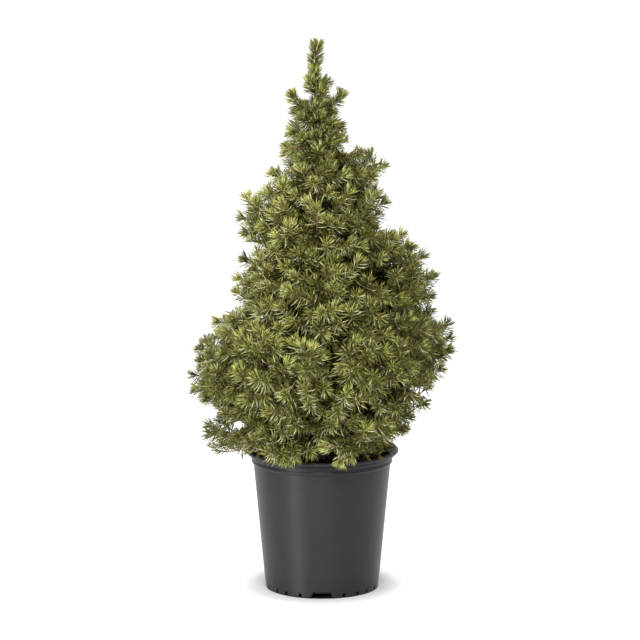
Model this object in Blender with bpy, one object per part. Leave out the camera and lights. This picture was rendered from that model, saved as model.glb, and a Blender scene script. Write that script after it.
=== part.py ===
"""A dwarf conical spruce in a small round nursery pot, as separate closed solids.

Metres, +Z up. The origin is the middle of the pot's flat underside. Seen along +Y, +X is to the right.
The trunk runs up through the crown. Boughs leave it in tiers, and each bough ends where it enters its own
mass of foliage. A mass is a stem with a dense core, twigs that leave the stem by the golden angle, and a
spray of needles on the end of each twig. Upper masses grow straight from the trunk, with no bough.
"""

import math
import random
from typing import NamedTuple

import bmesh
import bpy
import numpy as np
from mathutils import Matrix, Vector
from mathutils.bvhtree import BVHTree

# The pot, a blow-moulded trade-gallon nursery container.
POT_HEIGHT = 0.157
LIP_RADIUS = 0.085
WALL_TOP_RADIUS = 0.0757
BASE_RADIUS = 0.0628
WALL = 0.0016
POT_SEGMENTS = 36

# The pot's foot: a flat pad in the middle, a channel round it, and a ring that the wall stands on.
PAD_RADIUS = 0.040
PAD_EDGE = 0.003
CHANNEL_RISE = 0.0045
FOOT_WIDTH = 0.0040
FOOT_EDGE = 0.0012
DRAIN_MOUTHS = 4
DRAIN_HALF_ANGLE = math.radians(11.5)
DRAIN_HEIGHT = 0.0066
DRAIN_TOP_SHARE = 0.80
NOTCH_ANGLES = (22.5, 38.5, 51.5, 67.5)
NOTCH_WIDTH = 0.0032
NOTCH_HEIGHT = 0.0042
CUT_MARGIN = 0.006

# The pot's rim: depths below its top and distances out from the top of the plain wall.
WALL_END = 0.0205
BEAD_DEPTH, BEAD_OUT = 0.0175, 0.0018
GROOVE_DEPTH, GROOVE_OUT = 0.0135, 0.0013
COLLAR_LOW, COLLAR_HIGH, COLLAR_OUT = 0.0105, 0.0065, 0.0038
LIP_UNDER, LIP_MIDDLE, LIP_EDGE = 0.0052, 0.0026, 0.0016
LIP_INSIDE = 0.0064

# The potting mix.
SOIL_TOP = 0.1455
SOIL_FLAT_RADIUS = 0.016
SOIL_LUMP = 0.0022
SOIL_DROP = 0.0035
SOIL_SEGMENTS = 18
CLEAR = 0.0003

# The trunk, from its flat foot on the mix to the base of the leading shoot.
TRUNK_FOOT = SOIL_TOP + CLEAR
TRUNK_TOP = 0.515
TREE_TOP = 0.611
TRUNK_RADIUS = 0.0072
TRUNK_TIP_RADIUS = 0.0016
FLARE_RADIUS = 0.0034
FLARE_HEIGHT = 0.012
FLARE_RINGS = (0.0, 0.005, 0.012, 0.024)
TRUNK_LEAN = 0.0085
TRUNK_FOOT_X = 0.0022
TRUNK_SWAY = 0.0022
TRUNK_SIDES = 10
TRUNK_RINGS = 9

# The crown's outline: how far the foliage reaches from the axis at each height, to the left and to the right.
OUTLINE_HEIGHT = (
    0.150, 0.160, 0.178, 0.195, 0.213, 0.240, 0.267, 0.294, 0.325, 0.350,
    0.383, 0.410, 0.437, 0.465, 0.490, 0.520, 0.552, 0.568, 0.594, 0.615,
)
REACH_LEFT = (
    0.118, 0.128, 0.129, 0.118, 0.134, 0.151, 0.142, 0.119, 0.096, 0.098,
    0.084, 0.092, 0.092, 0.060, 0.049, 0.042, 0.040, 0.020, 0.016, 0.012,
)
REACH_RIGHT = (
    0.092, 0.092, 0.094, 0.102, 0.121, 0.132, 0.144, 0.145, 0.122, 0.127,
    0.104, 0.073, 0.073, 0.075, 0.058, 0.030, 0.027, 0.012, 0.004, 0.002,
)



class Tier(NamedTuple):
    """One whorl of limbs. Heights are in metres and the azimuth is in degrees."""

    name: str
    tip_height: float
    rise: float
    count: int
    first_azimuth: float
    has_boughs: bool
    sprays: int


TIERS = (
    Tier("skirt", 0.172, 0.018, 6, 178.0, True, 5),
    Tier("low", 0.228, 0.054, 6, 202.0, True, 6),
    Tier("broad", 0.285, 0.078, 6, 172.0, True, 6),
    Tier("middle", 0.350, 0.078, 5, 206.0, True, 6),
    Tier("shoulder", 0.415, 0.072, 4, 176.0, False, 6),
    Tier("neck", 0.466, 0.060, 3, 4.0, False, 6),
    Tier("spire", 0.512, 0.044, 3, 188.0, False, 5),
)
LEADER_SPRAYS = 4
LEADER_SLEEVES = (0.25, 0.62)
TIP_JITTER = 0.005
SPIRAL_RISE = 0.020
AZIMUTH_JITTER = 5.0
LEVEL_SHARE_BOUGH = 0.62
LEVEL_SHARE_STEM = 0.5
TURN_RISE = 0.30
TURN_LIFT = 0.004
BOUGH_SHARE = 0.32
BOUGH_RADIUS = 0.0030
BOUGH_TIP_RADIUS = 0.0021
BOUGH_SIDES = 6
BOUGH_RINGS = 3
STEM_RADIUS = 0.0018
STEM_TIP_RADIUS = 0.0010
STEM_SIDES = 4
STEM_RINGS = 4

# Twigs and their sprays of needles.
GOLDEN_ANGLE = math.radians(137.508)
GOLDEN_SHARE = 0.618
SEED = 61
TWIG_RADIUS = 0.0011
TWIG_LEAN = math.radians(54)
LEAN_SPREAD = math.radians(16)
LEAN_LOSS = 0.35
TWIG_LIFT = 0.18
TWIG_BASE, TWIG_PER_STEM, TWIG_TAPER = 0.016, 0.40, 0.60
FIRST_TWIG, TWIG_SPAN = 0.12, 0.84
CANDIDATES = 60
SHORTER = ((1.0, 1.0), (0.84, 1.0), (0.68, 1.0), (0.52, 0.95), (0.40, 0.85), (0.30, 0.75))
SPRAY_LENGTH = 0.031
SPRAY_RADIUS = 0.0115
SPRAY_CORE = 0.0018
SPRAY_ROOT = 0.006
SPRAY_WAIST, SPRAY_WAIST_SWELL, SPRAY_END = 0.55, 1.15, 0.86
SIDE_NEEDLE, UPPER_NEEDLE, END_NEEDLE = (0.42, 0.94), (0.66, 1.00), (1.00, 0.50)

# A mass's own space and its core.
SPACE_MARGIN = 0.0012
LIMB_MARGIN = 0.0012
POT_MARGIN = 0.002
OUTLINE_SLACK = 0.004
SQUARENESS = 3.0
STEM_SAMPLES = 10
TRUNK_SAMPLES = 30
NEIGHBOUR_REACH = 0.100
CORE_RADIUS = 0.018
CORE_DEPTH = 0.034
CORE_JITTER = 0.14
CORE_PLACE, CORE_LENGTH, CORE_LEAST = 0.55, 0.46, 0.012
CORE_STEPS, CORE_TRIES, CORE_SHRINK = 23, 30, 0.93

COLOURS = {
    "pot": ((0.052, 0.052, 0.058), 0.42),
    "soil": ((0.040, 0.026, 0.016), 0.95),
    "bark": ((0.150, 0.092, 0.058), 0.85),
    "foliage": ((0.145, 0.175, 0.045), 0.55),
}


def clear_scene():
    """Removes every object that the scene starts with."""
    for thing in list(bpy.data.objects):
        bpy.data.objects.remove(thing)


def material(name):
    """A Principled material of that name from COLOURS, made once."""
    found = bpy.data.materials.get(name)
    if found:
        return found
    colour, roughness = COLOURS[name]
    made = bpy.data.materials.new(name)
    made.use_nodes = True
    shader = made.node_tree.nodes["Principled BSDF"]
    shader.inputs["Base Color"].default_value = (*colour, 1.0)
    shader.inputs["Roughness"].default_value = roughness
    shader.inputs["Metallic"].default_value = 0.0
    return made


def add_object(name, points, faces, finish, smooth=True):
    """Links a new mesh object made of those points and faces."""
    mesh = bpy.data.meshes.new(name)
    mesh.from_pydata([tuple(p) for p in points], [], faces)
    mesh.validate()
    if smooth:
        mesh.shade_smooth()
        mesh.set_sharp_from_angle(angle=math.radians(40))
    mesh.materials.append(material(finish))
    made = bpy.data.objects.new(name, mesh)
    bpy.context.scene.collection.objects.link(made)
    return made


def apply_boolean(target, collection, operation, solver="EXACT"):
    """Joins or cuts the target with all of a collection, then removes the collection and its objects."""
    modifier = target.modifiers.new("join", "BOOLEAN")
    modifier.operation = operation
    modifier.operand_type = "COLLECTION"
    modifier.collection = collection
    modifier.solver = solver
    graph = bpy.context.evaluated_depsgraph_get()
    joined = bpy.data.meshes.new_from_object(target.evaluated_get(graph))
    target.modifiers.clear()
    target.data = joined
    for thing in list(collection.objects):
        bpy.data.objects.remove(thing)
    bpy.data.collections.remove(collection)
    return target


def working_collection(name):
    """A new collection in the scene for the objects of one Boolean."""
    made = bpy.data.collections.new(name)
    bpy.context.scene.collection.children.link(made)
    return made


def move_to(thing, collection):
    """Moves an object from the scene's own collection to another one."""
    bpy.context.scene.collection.objects.unlink(thing)
    collection.objects.link(thing)


def tube(path, radii, sides, phase=0.0):
    """Points and faces of a closed tube along a path, with flat ends.

    Each ring stands square to the path, and its first point keeps the same side of the path.
    """
    path = [Vector(p) for p in path]
    points, faces = [], []
    ahead = (path[1] - path[0]).normalized()
    side = ahead.orthogonal().normalized()
    for i, centre in enumerate(path):
        before = path[max(i - 1, 0)]
        after = path[min(i + 1, len(path) - 1)]
        ahead = (after - before).normalized()
        side = (side - side.dot(ahead) * ahead).normalized()
        across = ahead.cross(side)
        for k in range(sides):
            turn = phase + 2 * math.pi * k / sides
            points.append(centre + radii[i] * (math.cos(turn) * side + math.sin(turn) * across))
    for i in range(len(path) - 1):
        for k in range(sides):
            a, b = i * sides + k, i * sides + (k + 1) % sides
            faces.append((a, b, b + sides, a + sides))
    faces.append(tuple(reversed(range(sides))))
    faces.append(tuple(range((len(path) - 1) * sides, len(path) * sides)))
    return points, faces


def revolve(profile, segments):
    """Points and faces of a closed ring or solid turned about Z. Points of radius 0 become one pole."""
    points, rings = [], []
    for radius, height in profile:
        if radius == 0:
            rings.append([len(points)] * segments)
            points.append(Vector((0, 0, height)))
            continue
        rings.append(list(range(len(points), len(points) + segments)))
        for k in range(segments):
            turn = 2 * math.pi * k / segments
            points.append(Vector((radius * math.cos(turn), radius * math.sin(turn), height)))
    faces = []
    for lower, upper in zip(rings, rings[1:]):
        for k in range(segments):
            j = (k + 1) % segments
            corners = [lower[k], lower[j], upper[j], upper[k]]
            kept = [c for n, c in enumerate(corners) if c not in corners[:n]]
            if len(kept) > 2:
                faces.append(tuple(kept))
    return points, faces


def wall_radius(height):
    """Outer radius of the pot's plain tapering wall at a height."""
    share = height / (POT_HEIGHT - 0.0205)
    return BASE_RADIUS + (WALL_TOP_RADIUS - BASE_RADIUS) * share


def pot_profile():
    """The pot's section: up the outside over the rolled lip, down the inside and across the floor."""
    top = POT_HEIGHT
    inner_floor = CHANNEL_RISE + WALL
    foot_inside = BASE_RADIUS - FOOT_WIDTH
    outside = [
        (0, 0),
        (PAD_RADIUS, 0),
        (PAD_RADIUS + PAD_EDGE, CHANNEL_RISE),
        (foot_inside - FOOT_EDGE, CHANNEL_RISE),
        (foot_inside, 0),
        (BASE_RADIUS - FOOT_EDGE, 0),
        (wall_radius(0.004) + 0.0003, 0.004),
        (wall_radius(top - WALL_END), top - WALL_END),
        (WALL_TOP_RADIUS + BEAD_OUT, top - BEAD_DEPTH),
        (WALL_TOP_RADIUS + GROOVE_OUT, top - GROOVE_DEPTH),
        (WALL_TOP_RADIUS + COLLAR_OUT, top - COLLAR_LOW),
        (WALL_TOP_RADIUS + COLLAR_OUT, top - COLLAR_HIGH),
        (LIP_RADIUS - LIP_EDGE, top - LIP_UNDER),
        (LIP_RADIUS, top - LIP_MIDDLE),
        (LIP_RADIUS - LIP_EDGE, top - LIP_EDGE / 4),
        (LIP_RADIUS - 2.2 * LIP_EDGE, top),
        (LIP_RADIUS - LIP_INSIDE, top - LIP_EDGE),
    ]
    inside = [
        (WALL_TOP_RADIUS + GROOVE_OUT, top - COLLAR_HIGH - WALL),
        (WALL_TOP_RADIUS - WALL, top - WALL_END),
        (wall_radius(2 * inner_floor) - WALL, 2 * inner_floor),
        (foot_inside - FOOT_EDGE, inner_floor),
        (PAD_RADIUS + PAD_EDGE - WALL / 2, inner_floor),
        (PAD_RADIUS - WALL / 2, WALL),
        (0, WALL),
    ]
    return outside + inside


def foot_cutter(angle, low_half, high_half, height):
    """A block with a trapezoid face that opens the foot of the wall at an angle."""
    inner, outer = BASE_RADIUS - FOOT_WIDTH - 1.4 * FOOT_EDGE, BASE_RADIUS + CUT_MARGIN
    points = []
    for z, half in ((-CUT_MARGIN, low_half), (height, high_half)):
        for radius in (inner, outer):
            for side in (-half, half):
                points.append(Vector((radius, side, z)))
    faces = [(0, 1, 3, 2), (4, 6, 7, 5), (0, 4, 5, 1), (2, 3, 7, 6), (0, 2, 6, 4), (1, 5, 7, 3)]
    turn = Matrix.Rotation(angle, 3, "Z")
    return [turn @ p for p in points], faces


def outward(thing):
    """Turns an object's faces outwards."""
    shape = bmesh.new()
    shape.from_mesh(thing.data)
    bmesh.ops.recalc_face_normals(shape, faces=shape.faces)
    shape.to_mesh(thing.data)
    shape.free()
    return thing


def build_pot():
    """The pot: a turned shell with a rolled lip, two rings below it, and drain mouths round its foot."""
    points, faces = revolve(pot_profile(), POT_SEGMENTS)
    pot = outward(add_object("pot", points, faces, "pot"))
    cutters = working_collection("pot_cuts")
    mouth = math.tan(DRAIN_HALF_ANGLE) * BASE_RADIUS
    for k in range(DRAIN_MOUTHS):
        front = math.radians(-90) + 2 * math.pi * k / DRAIN_MOUTHS
        cuts = [foot_cutter(front, mouth, mouth * DRAIN_TOP_SHARE, DRAIN_HEIGHT)]
        for angle in NOTCH_ANGLES:
            half = NOTCH_WIDTH / 2
            cuts.append(foot_cutter(front + math.radians(angle), half, half, NOTCH_HEIGHT))
        for n, (cut_points, cut_faces) in enumerate(cuts):
            cutter = outward(add_object(f"cut_{k}_{n}", cut_points, cut_faces, "pot", False))
            move_to(cutter, cutters)
    return apply_boolean(pot, cutters, "DIFFERENCE")


def build_soil():
    """The potting mix, a filling 0.3 mm clear of the pot, lumpy on top but flat under the trunk."""
    dice = random.Random(SEED)
    gap = WALL + CLEAR
    floor = CHANNEL_RISE + gap
    side = WALL_TOP_RADIUS - gap
    corner = 2 * (CHANNEL_RISE + WALL)
    profile = [
        (0, gap),
        (PAD_RADIUS - gap, gap),
        (PAD_RADIUS + PAD_EDGE - gap, floor),
        (BASE_RADIUS - FOOT_WIDTH - FOOT_EDGE - gap / 2, floor),
        (wall_radius(corner) - gap, corner + CLEAR),
        (side, POT_HEIGHT - WALL_END),
        (side, SOIL_TOP - SOIL_DROP),
        (side * 0.82, SOIL_TOP - SOIL_DROP * 0.45),
        (side * 0.60, SOIL_TOP - SOIL_DROP * 0.15),
        (side * 0.40, SOIL_TOP),
        (SOIL_FLAT_RADIUS, SOIL_TOP),
        (0, SOIL_TOP),
    ]
    points, faces = revolve(profile, SOIL_SEGMENTS)
    for p in points:
        radius = math.hypot(p.x, p.y)
        if p.z > SOIL_TOP - SOIL_DROP * 0.5 and radius > SOIL_FLAT_RADIUS * 1.1:
            p.z += SOIL_LUMP * dice.uniform(-1.0, 0.5)
    return outward(add_object("soil", points, faces, "soil"))


def trunk_axis(height):
    """The trunk's centre at a height: it leans a little to the left and sways."""
    share = (height - TRUNK_FOOT) / (TREE_TOP - TRUNK_FOOT)
    across = TRUNK_FOOT_X - TRUNK_LEAN * share + TRUNK_SWAY * math.sin(5.2 * share)
    return Vector((across, 0.7 * TRUNK_SWAY * math.sin(7.0 * share), height))


def trunk_radius(height):
    """The trunk's radius at a height: an even taper with a flare at the foot."""
    share = (height - TRUNK_FOOT) / (TRUNK_TOP - TRUNK_FOOT)
    taper = TRUNK_RADIUS + (TRUNK_TIP_RADIUS - TRUNK_RADIUS) * share
    flare = FLARE_RADIUS * math.exp(-(height - TRUNK_FOOT) / FLARE_HEIGHT)
    return taper + flare


def build_trunk():
    """The trunk, with closer rings in its flare, cut flat where it meets the mix."""
    heights = [TRUNK_FOOT + rise for rise in FLARE_RINGS]
    start = heights[-1]
    heights += [start + (TRUNK_TOP - start) * (k + 1) / TRUNK_RINGS for k in range(TRUNK_RINGS)]
    points, faces = tube(
        [trunk_axis(h) for h in heights], [trunk_radius(h) for h in heights], TRUNK_SIDES
    )
    for p in points[:TRUNK_SIDES]:
        p.z = TRUNK_FOOT
    return outward(add_object("trunk", points, faces, "bark"))


def reach(height, azimuth):
    """How far the crown reaches from the axis at a height and azimuth.

    It is blended from the two outlines, and drawn out a little between the four sides of the crown.
    """
    left = np.interp(height, OUTLINE_HEIGHT, REACH_LEFT)
    right = np.interp(height, OUTLINE_HEIGHT, REACH_RIGHT)
    across, along = np.abs(np.cos(azimuth)), np.abs(np.sin(azimuth))
    squared = (across**SQUARENESS + along**SQUARENESS) ** (-1 / SQUARENESS)
    return (left + (right - left) * (1 + np.cos(azimuth)) / 2) * squared


def outline_room(points):
    """How far each point lies inside the crown's outline, negative outside it."""
    azimuth = np.arctan2(points[:, 1], points[:, 0])
    room = reach(points[:, 2], azimuth) - np.hypot(points[:, 0], points[:, 1])
    return np.where(points[:, 2] > TREE_TOP + 0.002, -1.0, room)


class Limb:
    """One limb's centre line, from the trunk out to the tip of its foliage.

    It is a quadratic curve: level at first, then rising to the tip.
    """

    def __init__(self, tier, number, azimuth, tip_height):
        self.name = f"{tier.name}_{number}"
        self.bough = tier.has_boughs
        self.sprays = tier.sprays
        self.sleeves = ()
        start_height = tip_height - tier.rise
        length = float(reach(tip_height, azimuth)) - SPRAY_LENGTH * SPRAY_END
        away = Vector((math.cos(azimuth), math.sin(azimuth), 0))
        self.start = trunk_axis(start_height)
        self.tip = Vector((away.x * length, away.y * length, tip_height))
        level = (self.tip - self.start).xy.length * (LEVEL_SHARE_BOUGH if self.bough else LEVEL_SHARE_STEM)
        self.turn = self.start + away * level + Vector((0, 0, tier.rise * TURN_RISE + TURN_LIFT))
        self.size = (self.tip - self.start).length
        self.first = self.clear_share(BOUGH_RADIUS if self.bough else STEM_RADIUS)
        self.joint = BOUGH_SHARE if self.bough else self.first

    def clear_share(self, radius):
        """The share of the way along at which a round limb of that radius is 0.3 mm clear of the trunk."""
        share = 0.0
        while True:
            centre, ahead = self.at(share), self.ahead(share)
            back = trunk_axis(centre.z) - centre
            back = (back - back.dot(ahead) * ahead).normalized() * radius
            gap = min(
                (point - trunk_axis(point.z)).xy.length - trunk_radius(point.z)
                for point in (centre, centre + back)
            )
            if gap >= CLEAR:
                return share
            share += 0.002

    def at(self, t):
        """The point a share t of the way along."""
        return self.start * (1 - t) ** 2 + self.turn * (2 * t * (1 - t)) + self.tip * t**2

    def ahead(self, t):
        """The direction of growth at t."""
        slope = (self.turn - self.start) * (1 - t) + (self.tip - self.turn) * t
        return slope.normalized()


class Leader(Limb):
    """The leading shoot, which goes on from the trunk's top to the tree's top."""

    def __init__(self):
        self.name = "leader"
        self.bough = False
        self.sprays = LEADER_SPRAYS
        self.sleeves = LEADER_SLEEVES
        self.start = trunk_axis(TRUNK_TOP) + Vector((0, 0, CLEAR))
        self.tip = trunk_axis(TREE_TOP - SPRAY_LENGTH)
        self.turn = (self.start + self.tip) / 2
        self.joint = 0.0
        self.size = (self.tip - self.start).length


def grow_limbs():
    """All limbs of the crown, tier by tier, and the leader last."""
    dice = random.Random(SEED)
    limbs = []
    for tier in TIERS:
        for k in range(tier.count):
            turn = tier.first_azimuth + 360 * k / tier.count + dice.uniform(-1, 1) * AZIMUTH_JITTER
            spiral = 0.0 if tier.has_boughs else SPIRAL_RISE * (k / tier.count - 0.5)
            top = tier.tip_height + spiral + dice.uniform(-1, 1) * TIP_JITTER
            limbs.append(Limb(tier, k + 1, math.radians(turn), top))
    limbs.append(Leader())
    return limbs


def build_bough(limb):
    """The bare part of a limb, from 0.3 mm off the trunk to where its foliage starts."""
    shares = np.linspace(limb.first, limb.joint, BOUGH_RINGS)
    radii = np.linspace(BOUGH_RADIUS, BOUGH_TIP_RADIUS, BOUGH_RINGS)
    points, faces = tube([limb.at(float(t)) for t in shares], radii.tolist(), BOUGH_SIDES)
    return outward(add_object(f"bough_{limb.name}", points, faces, "bark"))


def segments(limb, first, last):
    """The short segments of a limb between two shares of its length, as an array of pairs of points."""
    line = np.array([list(limb.at(float(t))) for t in np.linspace(first, last, STEM_SAMPLES)])
    return np.stack([line[:-1], line[1:]], axis=1)


def nearest(points, pieces):
    """Distance from each point to the nearest of some segments."""
    start, along = pieces[:, 0], pieces[:, 1] - pieces[:, 0]
    offset = points[:, None, :] - start[None]
    share = np.clip((offset * along[None]).sum(2) / (along**2).sum(1)[None], 0, 1)
    return np.linalg.norm(offset - share[..., None] * along[None], axis=2).min(1)


class Space:
    """What each mass may fill: points nearer to its own stem than to any other, clear of limbs and pot."""

    def __init__(self, limbs):
        self.stems = [segments(limb, limb.joint, 1.0) for limb in limbs]
        self.others = []
        for k, own in enumerate(self.stems):
            near = [
                stem
                for n, stem in enumerate(self.stems)
                if n != k and nearest(own[:, 0], stem).min() < NEIGHBOUR_REACH
            ]
            self.others.append(np.concatenate(near))
        self.boughs = np.concatenate([segments(limb, 0.0, limb.joint) for limb in limbs if limb.bough])
        heights = np.linspace(TRUNK_FOOT, TRUNK_TOP, TRUNK_SAMPLES)
        axis = np.array([list(trunk_axis(float(h))) for h in heights])
        self.trunk = np.stack([axis[:-1], axis[1:]], axis=1)

    def holds(self, index, points, inset=0.0):
        """True for each point that mass number index may fill, inset by that much inside the outline."""
        free = outline_room(points) >= inset - OUTLINE_SLACK
        free &= ~self.in_pot(points)
        if not free.any():
            return free
        free &= nearest(points, self.stems[index]) + SPACE_MARGIN < nearest(points, self.others[index])
        free &= nearest(points, self.boughs) > BOUGH_RADIUS + LIMB_MARGIN
        taper = np.clip((TRUNK_TOP - points[:, 2]) / (TRUNK_TOP - TRUNK_FOOT), 0, 1)
        thick = TRUNK_TIP_RADIUS + (TRUNK_RADIUS - TRUNK_TIP_RADIUS) * taper + LIMB_MARGIN
        thick += FLARE_RADIUS * np.exp(-np.maximum(points[:, 2] - TRUNK_FOOT, 0) / FLARE_HEIGHT)
        return free & (nearest(points, self.trunk) > thick)

    @staticmethod
    def in_pot(points):
        """True for each point in, or within POT_MARGIN of, the pot's rim or the mix."""
        radius = np.hypot(points[:, 0], points[:, 1])
        height = points[:, 2]
        over_mouth = radius < WALL_TOP_RADIUS - WALL - POT_MARGIN
        low_in_mouth = over_mouth & (height < SOIL_TOP + POT_MARGIN)
        beside = (radius < LIP_RADIUS + POT_MARGIN) & ~over_mouth & (height < POT_HEIGHT + POT_MARGIN)
        return low_in_mouth | beside


def spray_shape(root, base, roll, scale=1.0):
    """Points and faces of a twig with a spray of nine needles on its end, as one closed shape.

    The twig is a three-sided rod from root to base. The spray is a slim twisted spindle, and each needle
    is one of its faces drawn out to a point. Point number 9 is the spindle's end.
    """
    length, spread_radius = SPRAY_LENGTH * scale, SPRAY_RADIUS * scale
    ahead = (base - root).normalized()
    side = ahead.orthogonal().normalized()
    across = ahead.cross(side)
    third = 2 * math.pi / 3

    def place(radius, turn, height):
        turn += roll
        return base + ahead * height + radius * (math.cos(turn) * side + math.sin(turn) * across)

    back = -(base - root).length
    points = [place(TWIG_RADIUS, k * third, back) for k in range(3)]
    points += [place(SPRAY_CORE, k * third, 0.0) for k in range(3)]
    waist = SPRAY_CORE * SPRAY_WAIST_SWELL
    points += [place(waist, (k + 0.5) * third, length * SPRAY_WAIST) for k in range(3)]
    points.append(place(0.0, 0.0, length * SPRAY_END))
    faces = [(2, 1, 0)]
    drawn = []
    for k in range(3):
        j = (k + 1) % 3
        faces += [(k, j, 3 + j), (k, 3 + j, 3 + k)]
        drawn.append((3 + k, 3 + j, 6 + k, *SIDE_NEEDLE, (k + 0.5) * third))
        drawn.append((3 + j, 6 + j, 6 + k, *UPPER_NEEDLE, (k + 1.0) * third))
        drawn.append((6 + k, 6 + j, 9, *END_NEEDLE, (k + 1.0) * third))
    for a, b, c, height, spread, turn in drawn:
        tip = len(points)
        points.append(place(spread_radius * spread, turn, length * height))
        faces += [(a, b, tip), (b, c, tip), (c, a, tip)]
    return points, faces


def face_probes(points, faces):
    """For each triangle, points spread over it and halfway in to the middle of them all."""
    weights = np.array([(w, v, 1 - w - v) for w, v in ((1 / 3, 1 / 3), (0.5, 0.5), (0.5, 0), (0, 0.5))])
    spread = np.einsum("kw,fwd->fkd", weights, points[faces])
    return np.concatenate([spread, (spread + points.mean(0)) / 2], axis=1)


def fitted_core(space, index, limb):
    """Points and faces of a mass's dense middle: a ball drawn out along the stem.

    Each of its corners is pushed out until it meets the edge of the mass's own space.
    """
    dice = random.Random(SEED + index)
    ball = bmesh.new()
    bmesh.ops.create_icosphere(ball, subdivisions=2, radius=1.0)
    rays = np.array([list(v.co) for v in ball.verts])
    faces = np.array([[v.index for v in face.verts] for face in ball.faces])
    ball.free()
    share = limb.joint + (1 - limb.joint) * CORE_PLACE
    middle = np.array(list(limb.at(share)))
    turn = np.array(limb.ahead(share).to_track_quat("Z", "Y").to_matrix())
    half_length = max(limb.size * (1 - limb.joint) * CORE_LENGTH, CORE_LEAST)
    radius = min(CORE_RADIUS, half_length * 1.1)
    rays = (rays * (radius, radius, half_length)) @ turn.T
    rays *= np.array([[1 + CORE_JITTER * dice.uniform(-1, 0.3)] for _ in rays])
    sizes = np.full(len(rays), 1.0)
    steps = np.linspace(FIRST_TWIG, 1.0, CORE_STEPS)
    for k, ray in enumerate(rays):
        held = space.holds(index, middle + ray * steps[:, None], CORE_DEPTH)
        sizes[k] = steps[held.argmin() - 1] if not held.all() else 1.0
        if not held[0]:
            sizes[k] = steps[0] / 2
    for _ in range(CORE_TRIES):
        points = middle + rays * sizes[:, None]
        probes = face_probes(points, faces)
        held = space.holds(index, probes.reshape(-1, 3), CORE_DEPTH).reshape(len(faces), -1).all(1)
        if held.all():
            return [Vector(p) for p in points], [tuple(int(c) for c in f) for f in faces]
        sizes[np.unique(faces[~held])] *= CORE_SHRINK
    return None


def spray_fits(space, index, points):
    """True if a twig, past its root, and its spray keep to the mass's space."""
    points = np.array([list(p) for p in points])
    root, foot, tips = points[:3].mean(0), points[3:6].mean(0), points[6:]
    shares = np.linspace(0.2, 1.0, 5)[:, None, None]
    twig = root + (foot - root) * shares[:, :, 0]
    needles = (foot + (tips - foot) * shares).reshape(-1, 3)
    return bool(space.holds(index, np.concatenate([twig, needles])).all())


def needles_tree(points, faces):
    """A search tree of the spray's needles alone, without its twig."""
    return BVHTree.FromPolygons(points, [f for f in faces if min(f) > 2])


def twig_length(limb, share):
    """How far a twig reaches from the stem: longest low on the stem, shorter towards its tip."""
    full = TWIG_BASE + TWIG_PER_STEM * limb.size * (1 - limb.joint)
    return full * (1.0 - TWIG_TAPER * share)


def twig_ahead(limb, t, spin, share, more):
    """The direction of a twig: turned spin about the stem, leaning away from it and a little up."""
    ahead = limb.ahead(t)
    side = Matrix.Rotation(spin, 3, ahead) @ ahead.orthogonal().normalized()
    lean = TWIG_LEAN * (1.0 - LEAN_LOSS * share) + more * LEAN_SPREAD
    away = ahead * math.cos(lean) + side * math.sin(lean)
    return (away + Vector((0, 0, TWIG_LIFT))).normalized()


def twig_candidates(space, index, limb, dice):
    """The twigs with sprays that would fit in a mass's space, those nearest to the crown's outline first."""
    found = []
    for k in range(CANDIDATES):
        share = (k * GOLDEN_SHARE) % 1.0
        t = limb.joint + (1 - limb.joint) * (FIRST_TWIG + TWIG_SPAN * share)
        away = twig_ahead(limb, t, k * GOLDEN_ANGLE, share, dice.uniform(-1, 1))
        roll = dice.uniform(0, 2)
        root = limb.at(t)
        for shorten, scale in SHORTER:
            base = root + away * twig_length(limb, share) * shorten
            spray = spray_shape(root, base, roll, scale)
            if spray_fits(space, index, spray[0]):
                room = float(outline_room(np.array([list(spray[0][9])]))[0])
                found.append((room, k, spray))
                break
    return [spray for _, _, spray in sorted(found, key=lambda item: item[:2])]


def grow_mass(space, index, limb):
    """One mass of foliage: stem, core, twigs and sprays, joined into one solid."""
    dice = random.Random(SEED * 100 + index)
    start = limb.joint + (2 * CLEAR / limb.size if limb.bough else 0.0)
    shares = np.linspace(start, 1.0, STEM_RINGS).tolist()
    radii = np.linspace(STEM_RADIUS, STEM_TIP_RADIUS, STEM_RINGS).tolist()
    points, faces = tube([limb.at(t) for t in shares], radii, STEM_SIDES)
    mass = outward(add_object(f"foliage_{limb.name}", points, faces, "foliage", False))
    extras = working_collection(f"sprays_{limb.name}")

    def fuse(shape_points, shape_faces):
        piece = outward(add_object("piece", shape_points, shape_faces, "foliage", False))
        move_to(piece, extras)

    core = None if limb.sleeves else fitted_core(space, index, limb)
    trees = []
    if core:
        fuse(*core)
        trees.append(BVHTree.FromPolygons(*core))
    for t in (*limb.sleeves, 1.0):
        base = limb.at(t)
        spray = spray_shape(base - limb.ahead(t) * SPRAY_ROOT, base, dice.uniform(0, 2))
        fuse(*spray)
        trees.append(BVHTree.FromPolygons(*spray))
    wanted = len(trees) + limb.sprays
    for spray in twig_candidates(space, index, limb, dice):
        tree = needles_tree(*spray)
        if len(trees) < wanted and not any(tree.overlap(other) for other in trees):
            fuse(*spray)
            trees.append(BVHTree.FromPolygons(*spray))
    apply_boolean(mass, extras, "UNION")
    return mass


def main():
    """Builds the pot, the mix, the trunk, the boughs and the masses of foliage."""
    clear_scene()
    build_pot()
    build_soil()
    build_trunk()
    limbs = grow_limbs()
    space = Space(limbs)
    for index, limb in enumerate(limbs):
        if limb.bough:
            build_bough(limb)
        grow_mass(space, index, limb)


main()
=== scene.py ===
"""A potted dwarf conical spruce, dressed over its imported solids.

Metres, +Z up, the origin in the middle of the pot's flat underside. The pot, the potting mix, the trunk
and the boughs are finer surfaces over the same measures as the solids. Each mass of foliage grows again by
the source's rule: twigs leave its stem by the golden angle, shoots leave the twigs in the same way, and
needles stand round each shoot, all within the same reach.
"""

import logging
import math
import random
from dataclasses import dataclass, field, fields
from enum import Enum
from typing import NamedTuple, Optional, Sequence

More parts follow.
